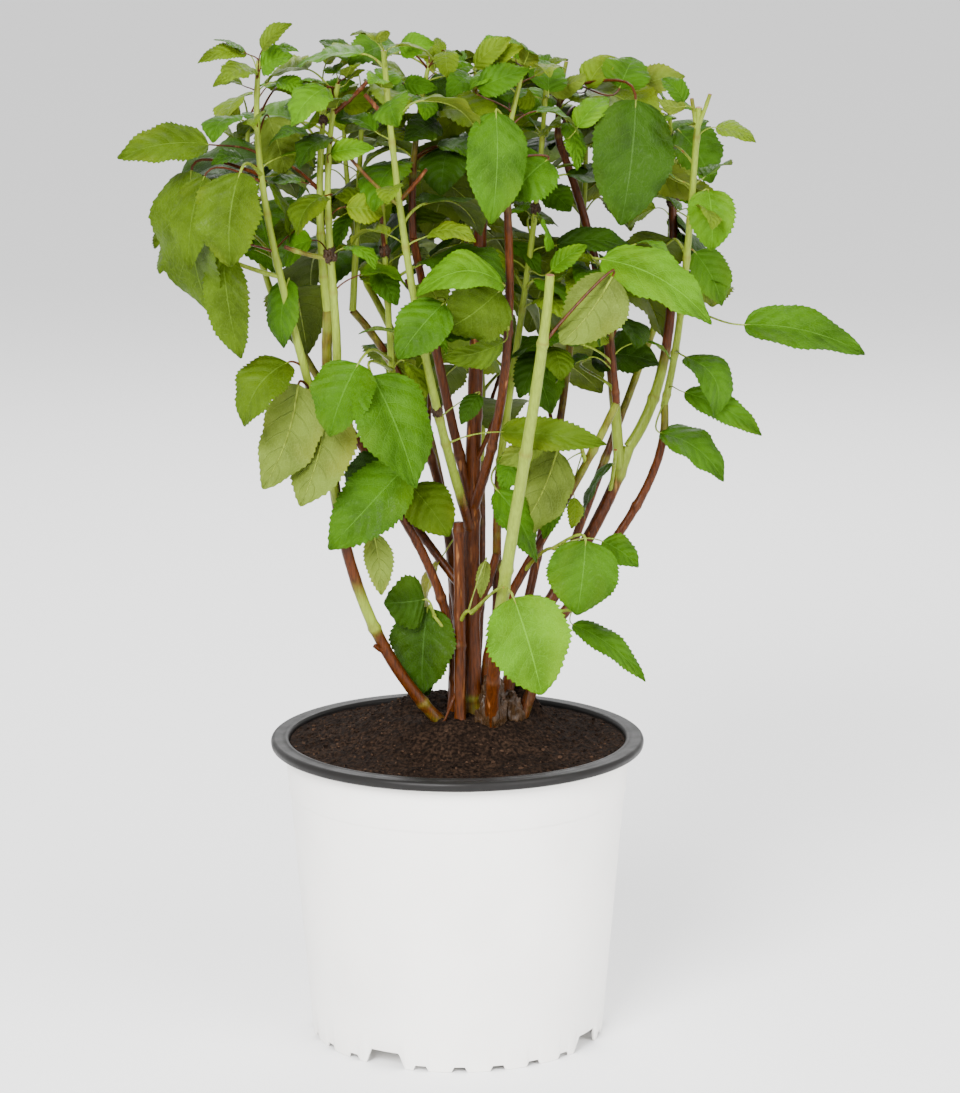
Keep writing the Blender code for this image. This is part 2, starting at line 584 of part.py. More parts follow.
class Blade:
    """One leaf: a petiole from the stem's axis, then a folded, arching blade."""

    def __init__(self, root, base, tip, width, turn, arch, stem_radius):
        self.root, self.base, self.tip = root, base, tip
        self.half, self.stem_radius = width / 2, stem_radius
        chord = tip - base
        self.length = chord.length
        along = chord.normalized()
        outward = base - CROWN_CENTRE
        outward.z = 0.0
        up = Vector((0, 0, 1)) + outward.normalized() * 0.35
        up = (up - along * up.dot(along)).normalized()
        self.up = Matrix.Rotation(math.radians(turn), 3, along) @ up
        self.bow = (base + tip) / 2 + self.up * (2 * arch * self.length)

    def section(self, share, margin):
        """Left edge, right edge and keel of the blade at a share of its length."""
        place = bend(self.base, self.bow, self.tip, share)
        ahead = bend(self.base, self.bow, self.tip, min(1.0, share + 0.02))
        behind = bend(self.base, self.bow, self.tip, max(0.0, share - 0.02))
        along = (ahead - behind).normalized()
        up = (self.up - along * self.up.dot(along)).normalized()
        side = along.cross(up)
        half = self.half * blade_width(share) + margin
        lift = up * (0.12 * half + margin)
        keel = up * (0.01 * self.length + margin)
        return [place + side * half + lift, place - side * half + lift, place - keel]

    def stalk(self, margin, root):
        """Three points round the petiole at its root and three where the blade begins.

        The upper three stand half way between the petiole's run and the blade's.
        """
        rise = (self.base - self.root).normalized()
        ahead = (self.bow - self.base).normalized()
        middle = (rise + ahead).normalized()
        side = ahead.cross(self.up)
        side = (side - middle * side.dot(middle)).normalized()
        size = PETIOLE_RADIUS + margin
        rings = []
        for place, along in ((root, rise), (self.base, middle)):
            across = middle.rotation_difference(along) @ side
            up = across.cross(along)
            rings.append([place + (across + up * 0.6) * size,
                          place + (up * 0.6 - across) * size, place - up * size])
        return rings

    def corners(self, free, margin):
        """Rings of three corners from the root to the tip.

        free leaves off the part inside the stem, for the touch tests.
        """
        root = self.root
        if free:
            along = (self.base - self.root).normalized()
            root = root + along * (self.stem_radius + 0.0012 + margin)
        rings = self.stalk(margin, root)
        rings += [self.section(share, margin) for share in LEAF_STATIONS]
        tip = self.tip + (self.tip - self.base).normalized() * margin
        return rings, tip

    def mesh(self, name, free=False, margin=0.0):
        rings, tip = self.corners(free, margin)
        places = [corner for ring in rings for corner in ring] + [tip]
        last = len(places) - 1
        faces = [(2, 1, 0)]
        for i in range(len(rings) - 1):
            for k in range(3):
                a, b = 3 * i + k, 3 * i + (k + 1) % 3
                faces.append((a, b, b + 3, a + 3))
        for k in range(3):
            faces.append((last - 3 + k, last - 3 + (k + 1) % 3, last))
        mesh = bpy.data.meshes.new(name)
        mesh.from_pydata(places, [], faces)
        bm = bmesh.new()
        bm.from_mesh(mesh)
        bmesh.ops.triangulate(bm, faces=bm.faces)
        bmesh.ops.recalc_face_normals(bm, faces=bm.faces)
        bm.to_mesh(mesh)
        bm.free()
        return mesh


def inside_crown(place):
    """Whether a place lies in the rounded body of the crown, which is lower behind."""
    offset = place - CROWN_CENTRE
    sideways = math.hypot(offset.x, offset.y) / CROWN_REACH[0]
    upright = abs(offset.z + CROWN_TILT * max(0.0, offset.y)) / CROWN_REACH[1]
    return sideways ** CROWN_POWER + upright ** CROWN_POWER < 1.0


class Foliage:
    """Grows leaves on the shoots and keeps them clear of all that stands already."""

    def __init__(self, limbs, solids):
        self.limbs = limbs
        self.solids = solids
        self.blades = {name: [] for name in limbs}
        self.taken = []

    def clear(self, name, blade):
        """Take the blade's place unless it would touch a solid or another leaf.

        The first bit of the petiole lies in the blade's own stem, so it counts
        for all others only.
        """
        trees = []
        for free in (True, False):
            probe = blade.mesh("probe", free=free, margin=MARGIN)
            trees.append(touch_tree(probe))
            bpy.data.meshes.remove(probe)
        for other, tree in self.solids.items():
            if trees[other != name].overlap(tree):
                return False
        reach = blade.length * 0.62 + 0.02
        centre = (blade.root + blade.tip) / 2
        radius = reach + (blade.base - blade.root).length / 2
        for other, pair, place, size in self.taken:
            whole = other != name
            if (place - centre).length < radius + size and trees[whole].overlap(pair[whole]):
                return False
        self.taken.append((name, trees, centre, radius))
        return True

    def add(self, name, blade):
        if not self.clear(name, blade):
            return False
        self.blades[name].append(blade)
        return True

    def set_leaf(self, leaf):
        """A leaf set by hand: its petiole leaves the nearest place below its base.

        Where something is in the way, the blade moves a little forward or back.
        """
        limb = self.limbs[leaf.stem]
        first = ROOT_CLEAR / limb.length
        shares = [first + (0.97 - first) * i / 60 for i in range(61)]
        for nudge in NUDGES:
            shift = Vector((0, nudge * MM, 0))
            base = metres(leaf.base) + shift
            aim = base - Vector((0, 0, PETIOLE_RISE))
            share = min(shares, key=lambda s: (limb.point(s) - aim).length)
            blade = Blade(limb.point(share), base, metres(leaf.tip) + shift,
                          leaf.width * MM, leaf.turn, leaf.arch, limb.radius(share))
            if self.add(leaf.stem, blade):
                return True
        return False

    def grow(self, name):
        """Opposite pairs of leaves up a shoot, each pair square to the last."""
        limb = self.limbs[name]
        if limb.stem.bare >= 1.0:
            return
        start = max(limb.stem.bare, ROOT_CLEAR / limb.length)
        rng = random.Random(limb.stem.seed)
        phase = rng.uniform(0, math.pi)
        count = max(2, round(limb.length * (1 - start) / NODE_SPACING))
        for i in range(count + 1):
            height = i / count
            share = start + (0.97 - start) * height
            for half in (0, math.pi):
                turn = phase + i * math.pi / 2 + half + rng.uniform(-0.3, 0.3)
                size = rng.uniform(*LEAF_LENGTH) * (1.0 - 0.42 * height ** 3)
                droop = math.radians(rng.uniform(8, 62) * (1.0 - 0.55 * height))
                roll = rng.gauss(0, 16)
                arch = rng.uniform(0.08, 0.2)
                stalk = rng.uniform(0.014, 0.032)
                for twist, scale in TRIES:
                    heading = turn + math.radians(twist)
                    if self.try_leaf(name, share, heading, size * scale, droop, roll, arch,
                                     stalk * scale):
                        break

    def try_leaf(self, name, share, heading, size, droop, roll, arch, stalk):
        limb = self.limbs[name]
        flat = Vector((math.cos(heading), math.sin(heading), 0))
        root = limb.point(share)
        base = root + flat * (stalk + limb.radius(share)) + Vector((0, 0, stalk * 0.7))
        tip = base + flat * (size * math.cos(droop)) - Vector((0, 0, size * math.sin(droop)))
        if not (inside_crown(base) and inside_crown(tip)):
            return False
        blade = Blade(root, base, tip, size * LEAF_ASPECT, roll, arch, limb.radius(share))
        return self.add(name, blade)


def fuse(thing, blades):
    """Join a shoot and its leaves into one body."""
    if not blades:
        return
    leaves = bpy.data.collections.new("leaves")
    bpy.context.scene.collection.children.link(leaves)
    for i, blade in enumerate(blades):
        add_object(f"leaf_{i}", blade.mesh(f"leaf_{i}"), leaves)
    boolean(thing, "UNION", leaves)
    empty_collection(leaves)


# ---- the whole plant ---------------------------------------------------------------
def finish(thing, colour, roughness, smooth):
    mesh = thing.data
    mesh.materials.clear()
    mesh.materials.append(material(thing.name, colour, roughness))
    if smooth:
        mesh.shade_smooth()
        mesh.set_sharp_from_angle(angle=math.radians(40))


def main():
    for thing in list(bpy.data.objects):
        bpy.data.objects.remove(thing)
    collection = bpy.data.collections.new(COLLECTION)
    bpy.context.scene.collection.children.link(collection)

    finish(make_pot(collection), (0.87, 0.86, 0.83), 0.42, False)
    finish(make_rim(collection), (0.035, 0.034, 0.034), 0.45, False)
    finish(make_soil(collection), (0.030, 0.017, 0.011), 0.95, False)
    finish(make_crown_wood(collection), (0.13, 0.07, 0.04), 0.9, False)

    limbs = {}
    things = {}
    for stem in LIMBS + SHOOTS:
        sides = LIMB_SIDES if stem in LIMBS else SHOOT_SIDES
        limbs[stem.name] = Limb(stem, limbs)
        things[stem.name] = limbs[stem.name].tube(stem.name, sides, 0.0, collection)
        if stem.parent:
            seat_on_parent(things[stem.name], limbs[stem.name], limbs)

    standing = [thing for thing in collection.objects]
    solids = {thing.name: touch_tree(evaluated_mesh(thing)) for thing in standing}
    foliage = Foliage(limbs, solids)
    for leaf in LEAVES:
        foliage.set_leaf(leaf)
    for stem in SHOOTS:
        foliage.grow(stem.name)

    for stem in LIMBS:
        finish(things[stem.name], (0.16, 0.055, 0.025), 0.6, True)
    for stem in SHOOTS:
        fuse(things[stem.name], foliage.blades[stem.name])
        finish(things[stem.name], (0.16, 0.33, 0.03), 0.5, False)


main()
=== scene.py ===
import json
import math
import random
from collections import namedtuple

import bpy
import numpy as np
from bpy.props import FloatProperty, FloatVectorProperty, IntProperty, PointerProperty
from mathutils import Matrix, Vector, kdtree

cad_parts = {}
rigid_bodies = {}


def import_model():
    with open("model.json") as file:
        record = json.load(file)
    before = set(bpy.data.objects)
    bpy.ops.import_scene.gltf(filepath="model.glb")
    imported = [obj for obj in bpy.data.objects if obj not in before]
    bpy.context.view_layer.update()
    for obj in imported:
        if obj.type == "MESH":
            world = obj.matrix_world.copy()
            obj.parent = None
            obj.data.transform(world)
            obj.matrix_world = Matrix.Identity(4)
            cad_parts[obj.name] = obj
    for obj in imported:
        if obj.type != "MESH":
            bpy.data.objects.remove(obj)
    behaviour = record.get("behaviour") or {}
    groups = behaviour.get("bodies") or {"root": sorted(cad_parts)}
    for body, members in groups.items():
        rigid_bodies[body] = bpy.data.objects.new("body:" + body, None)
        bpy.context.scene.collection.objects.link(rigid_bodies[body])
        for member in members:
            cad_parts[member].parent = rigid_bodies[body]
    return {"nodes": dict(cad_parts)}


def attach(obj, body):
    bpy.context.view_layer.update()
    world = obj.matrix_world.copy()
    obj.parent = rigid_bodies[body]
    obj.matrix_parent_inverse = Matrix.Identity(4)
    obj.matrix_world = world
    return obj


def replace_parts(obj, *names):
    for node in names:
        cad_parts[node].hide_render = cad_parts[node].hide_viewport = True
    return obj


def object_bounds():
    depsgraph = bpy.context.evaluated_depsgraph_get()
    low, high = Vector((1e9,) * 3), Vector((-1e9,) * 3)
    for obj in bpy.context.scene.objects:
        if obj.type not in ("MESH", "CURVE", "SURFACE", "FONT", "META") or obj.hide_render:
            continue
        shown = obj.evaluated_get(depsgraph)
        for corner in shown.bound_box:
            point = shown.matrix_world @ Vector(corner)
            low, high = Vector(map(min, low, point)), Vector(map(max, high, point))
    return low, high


# Looks of a young hydrangea shrub in its nursery pot: soil and crumbs, barked and
# green stems, petioles, and toothed leaves with a paler underside.  Lengths in the
# tables are millimetres, everything else is metres, and +Z is up.

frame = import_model()
CAD_BOX = [list(corner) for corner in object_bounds()]

bl_info = {
    "name": "Potted Hydrangea",
    "version": (1, 0, 0),
    "blender": (4, 5, 0),
    "location": "3D View > Sidebar > Hydrangea",
    "description": "Makes the pot, soil, stems and leaves of a potted hydrangea shrub",
    "category": "Object",
}

MM = 0.001

# ---- sizes of the pot and soil -------------------------------------------------
POT_HEIGHT = 0.212
RIM_RADIUS = 0.130
RIM_HEIGHT = 0.0075
WALL_TOP_RADIUS = 0.119
WALL_FOOT_RADIUS = 0.102
WALL = 0.0018
STACK_BAND = 0.031             # height of the slightly wider band under the lip
STACK_STEP = 0.0008
FOOT_DISC_RADIUS = 0.068
CHANNEL_HEIGHT = 0.012
FOOT_RING = 0.09               # everything beyond this radius belongs to the wall
FOOT_BAND = 0.024              # the lift of the notches dies out at this height
SOIL_EDGE = 0.2042
SOIL_BRIM = 0.2078             # where the loose soil meets the inside of the lip
SOIL_TOP = 0.227
SOIL_REACH = 0.1172            # the lumps die out towards this radius
CRUMB_REACH = 0.1145
MOUND_RADIUS = 0.046
PLANTED = 0.004                # how deep the stems stand in the soil
GAP = 0.0003                   # air between pieces that touch
LARGE_NOTCHES = 4
LARGE_NOTCH_TURN = math.radians(-29)
LARGE_NOTCH = (0.030, 0.011)   # width and height
SMALL_NOTCHES = 5
SMALL_NOTCH = (0.0105, 0.0036)

# ---- leaf and stem rule --------------------------------------------------------
PETIOLE_RISE = 0.010           # how far under its blade a petiole leaves the stem
ROOT_CLEAR = 0.008             # no leaf springs nearer than this to a shoot's foot
LAST_NODE = 0.97               # share of a shoot's length at its last pair of leaves
NODE_SPACING = 0.033
LEAF_LENGTH = (0.056, 0.090)
LEAF_ASPECT = 0.72             # width over length
NUDGES = (0, -8, 8, -16, 16, -26, 26, -38, 38)  # steps back and forward, in order
# Turns in degrees and sizes tried for a leaf, in order.
TRIES = ((0, 1.0), (28, 0.95), (-28, 0.95), (55, 0.85), (-55, 0.85), (12, 0.65))
FRONT_VIEW = np.array((0.0157, -2.5, 0.8496))  # where the camera stands
VIEW_TILT = math.radians(11.416)
VIEW_LENS = 121.95
OPENING_SHEET = -0.05          # the openings lie on a sheet square to Y at this place
# Openings in the crown seen from the front: x, z and radius.
OPENINGS = [
    # along the top, from left to right
    (-135, 695, 5), (-35, 705, 10), (-35, 680, 5), (0, 695, 10), (20, 700, 5), (50, 700, 10),
    (60, 695, 10), (80, 690, 10), (95, 690, 10),
    # left shoulder, downwards
    (-150, 660, 7), (-135, 655, 5), (-165, 625, 5), (-170, 620, 7), (-180, 620, 10),
    (-190, 615, 5), (-130, 555, 7), (-130, 550, 7), (-140, 535, 10), (-135, 525, 10),
    (-180, 515, 5), (-100, 515, 7), (-95, 505, 7), (-140, 510, 5),
    # between the middle stems
    (-70, 630, 5), (-75, 605, 7), (-60, 605, 5), (30, 555, 5), (-50, 515, 7), (5, 465, 5),
    (-70, 420, 7), (-45, 365, 7), (-25, 360, 5),
    # between the right boughs
    (85, 665, 5), (95, 570, 7), (105, 565, 5), (60, 460, 5), (90, 455, 7), (90, 445, 7),
    (80, 445, 7), (75, 410, 7), (75, 400, 7), (100, 300, 5),
    # right shoulder, downwards
    (160, 665, 7), (160, 655, 7), (185, 650, 10), (205, 650, 10), (175, 650, 7), (150, 645, 5),
    (175, 625, 7), (190, 620, 7), (180, 595, 7), (200, 590, 10), (130, 570, 5), (165, 565, 5),
    (180, 545, 7), (185, 530, 7), (130, 510, 7), (160, 450, 7), (170, 430, 7),
]
FRONT_STEMS = ("shoot_left", "shoot_left_inner", "shoot_left_mid", "shoot_left_low",
               "shoot_front_left", "shoot_front", "shoot_centre", "shoot_centre_right",
               "shoot_right", "shoot_right_outer", "shoot_right_front", "trunk",
               "bough_right", "bough_centre")
CROWN_CENTRE = Vector((-0.008, 0.0, 0.556))

# root: a place on the mound, or a parent and the share of the way up it; low and
# high: the two places that pull the stem into its bend; radii: at foot and tip;
# bare: share of a shoot's length that carries no leaves; seed: starts the rule
# that deals out its leaves.
Stem = namedtuple("Stem", "name root low high tip radii bare seed", defaults=(1, 0))

LIMBS = [
    Stem("trunk", (12, -15), (6, -12, 321), (13, -7, 456), (17, 0, 596), (6.6, 4.2)),
    Stem("limb_left", (-7, -28), (-70, -43, 288), (-92, -56, 384), (-85, -65, 517), (4.2, 3.5)),
    Stem("limb_left_low", (-5, -12), (4, -17, 276), (-8, -25, 322), (-38, -35, 374), (3.5, 3.1)),
    Stem("limb_left_back", (2, 12), (3, 15, 358), (-21, 2, 454), (-70, -26, 512), (3.6, 2.6)),
    Stem("limb_front", (23, -33), (25, -63, 316), (45, -89, 407), (56, -110, 498), (4.7, 3.6)),
    Stem("limb_centre_right", (15, 4), (34, 1, 270), (24, -1, 333), (29, -4, 399), (3.4, 3.0)),
    Stem("limb_right_front", (28, -9), (-3, -8, 282), (61, -14, 340), (108, -25, 449), (3.7, 2.7)),
    Stem("limb_right", (33, 5), (30, 8, 274), (91, 18, 324), (119, 35, 408), (4.8, 4.2)),
    Stem("limb_right_outer", (41, 14), (69, 18, 318), (150, 22, 367), (143, 25, 440), (3.6, 2.8)),
    Stem("limb_back_right", (29, 29), (54, 43, 301), (72, 63, 400), (84, 90, 520), (3.6, 2.5)),
    Stem("limb_far_right", (38, 38), (70, 54, 304), (103, 75, 390), (138, 100, 480), (3.6, 2.6)),
    Stem("limb_back", (11, 32), (20, 51, 328), (18, 77, 427), (6, 112, 520), (3.6, 2.6)),
    Stem("limb_back_left", (-4, 26), (4, 35, 341), (-16, 57, 438), (-64, 92, 515), (3.6, 2.6)),
    Stem("cut_stem_front", (2, -34), (2, -33, 274), (2, -32, 323), (1, -31, 368), (4.0, 3.7)),
    Stem("cut_stem_right", (44, -8), (48, -7, 237), (53, -5, 248), (58, -4, 256), (4.6, 3.6)),
    Stem("cut_stub", ("trunk", 0.22), (18, -11, 312), (24, -9, 328), (27, -8, 341), (2.9, 2.9)),
    Stem("bough_far_left", ("trunk", 0.27), (-30, 5, 357), (-74, 21, 420), (-122, 36, 500),
         (3.2, 2.6)),
    Stem("bough_left", ("trunk", 0.45), (-5, -14, 436), (-17, -24, 500), (-29, -40, 563),
         (3.6, 2.7)),
    Stem("bough_centre", ("trunk", 0.44), (33, -45, 439), (40, -66, 509), (32, -74, 610),
         (3.6, 2.5)),
    Stem("bough_right", ("limb_right", 0.93), (107, 28, 479), (97, 24, 553), (70, 20, 619),
         (3.9, 2.6)),
    Stem("bough_right_green", ("limb_right", 1.0), (149, 45, 449), (151, 53, 510), (149, 60, 576),
         (4.1, 2.8)),
]

SHOOTS = [
    Stem("shoot_trunk", ("trunk", 1.0), (12, 0, 625), (11, 1, 653), (14, 4, 680), (3.3, 1.5), 0.1,
         5),
    Stem("shoot_left", ("limb_left", 0.62), (-97, -78, 491), (-138, -92, 584), (-127, -96, 684),
         (3.4, 1.7), 0.45, 9),
    Stem("shoot_left_mid", ("limb_left", 1.0), (-91, -64, 566), (-92, -59, 612), (-86, -50, 655),
         (3.3, 1.6), 0.15, 3),
    Stem("shoot_left_inner", ("limb_left", 0.79), (-67, -80, 502), (-96, -92, 577), (-76, -96, 669),
         (3.4, 1.6), 0.35, 8),
    Stem("shoot_front_left", ("trunk", 0.4), (-17, -63, 454), (-36, -99, 552), (-46, -118, 692),
         (3.6, 1.7), 0.35, 4),
    Stem("shoot_left_low", ("limb_left_low", 1.0), (-42, -38, 445), (-46, -43, 520),
         (-50, -50, 600), (3.0, 1.6), 0.0, 7),
    Stem("shoot_left_back", ("limb_left_back", 1.0), (-67, -29, 557), (-65, -31, 604),
         (-62, -34, 652), (2.5, 1.5), 0.05, 3),
    Stem("shoot_bough_left", ("bough_left", 1.0), (-31, -43, 601), (-27, -41, 639), (-18, -36, 678),
         (2.6, 1.5), 0.0, 6),
    Stem("shoot_centre", ("bough_centre", 1.0), (33, -74, 630), (37, -71, 652), (44, -64, 676),
         (2.4, 1.4), 0.0, 9),
    Stem("shoot_centre_right", ("limb_centre_right", 1.0), (37, -9, 473), (56, -14, 564),
         (60, -18, 673), (2.9, 1.5), 0.15, 11),
    Stem("shoot_front", ("limb_front", 1.0), (58, -113, 513), (60, -117, 529), (61, -120, 548),
         (3.5, 2.9)),
    Stem("shoot_right_front", ("limb_right_front", 1.0), (107, -26, 463), (105, -27, 480),
         (104, -26, 500), (2.6, 1.6), 0.0, 9),
    Stem("shoot_right", ("bough_right", 1.0), (67, 20, 633), (69, 18, 652), (74, 14, 676),
         (2.5, 1.4), 0.0, 16),
    Stem("shoot_right_outer", ("limb_right_outer", 1.0), (155, 8, 495), (157, -11, 571),
         (161, -34, 649), (2.7, 2.1), 0.12, 4),
    Stem("shoot_right_green", ("bough_right_green", 1.0), (150, 61, 585), (149, 61, 607),
         (146, 60, 640), (2.7, 1.5), 0.0, 5),
    Stem("shoot_back_right", ("limb_back_right", 1.0), (89, 99, 557), (91, 107, 597),
         (90, 112, 640), (2.4, 1.4), 0.0, 5),
    Stem("shoot_far_right", ("limb_far_right", 1.0), (150, 108, 513), (153, 109, 557),
         (148, 104, 612), (2.5, 1.4), 0.0, 11),
    Stem("shoot_back", ("limb_back", 1.0), (2, 125, 560), (-2, 133, 599), (-6, 136, 638),
         (2.5, 1.4), 0.0, 6),
    Stem("shoot_back_left", ("limb_back_left", 1.0), (-76, 105, 558), (-81, 113, 599),
         (-80, 116, 636), (2.5, 1.4), 0.0, 10),
    Stem("shoot_far_left", ("bough_far_left", 1.0), (-139, 37, 540), (-146, 37, 587),
         (-142, 36, 640), (2.5, 1.4), 0.0, 9),
    Stem("shoot_middle", ("limb_back", 0.55), (21, 65, 450), (13, 62, 543), (-10, 62, 668),
         (2.5, 1.4), 0.25, 1),
    Stem("sprig_right", ("bough_right", 0.5), (98, 10, 518), (97, -7, 527), (96, -26, 542),
         (2.3, 1.6), 0.3, 5),
    Stem("sprig_centre", ("bough_centre", 0.6), (31, -75, 519), (29, -85, 532), (27, -88, 540),
         (2.2, 1.6)),
    Stem("sprig_mid_right", ("limb_right_front", 0.86), (85, -27, 418), (83, -32, 425),
         (80, -36, 426), (2.0, 1.5)),
    Stem("sprig_node_right", ("limb_right", 0.86), (108, 21, 393), (109, 17, 405), (109, 14, 410),
         (2.0, 1.5)),
    Stem("sprig_low_left", ("cut_stem_front", 0.38), (-3, -33, 288), (-9, -32, 294),
         (-16, -30, 303), (1.9, 1.4)),
    Stem("sprig_low_front", ("cut_stem_front", 0.5), (5, -40, 307), (7, -45, 311), (10, -46, 308),
         (1.9, 1.4)),
    Stem("sprig_low_right", ("limb_right_front", 0.55), (55, -22, 344), (62, -29, 351),
         (66, -34, 350), (1.9, 1.4)),
    Stem("sprig_foot_right", ("limb_right", 0.42), (67, 1, 298), (75, -6, 302), (80, -10, 302),
         (1.9, 1.4)),
]

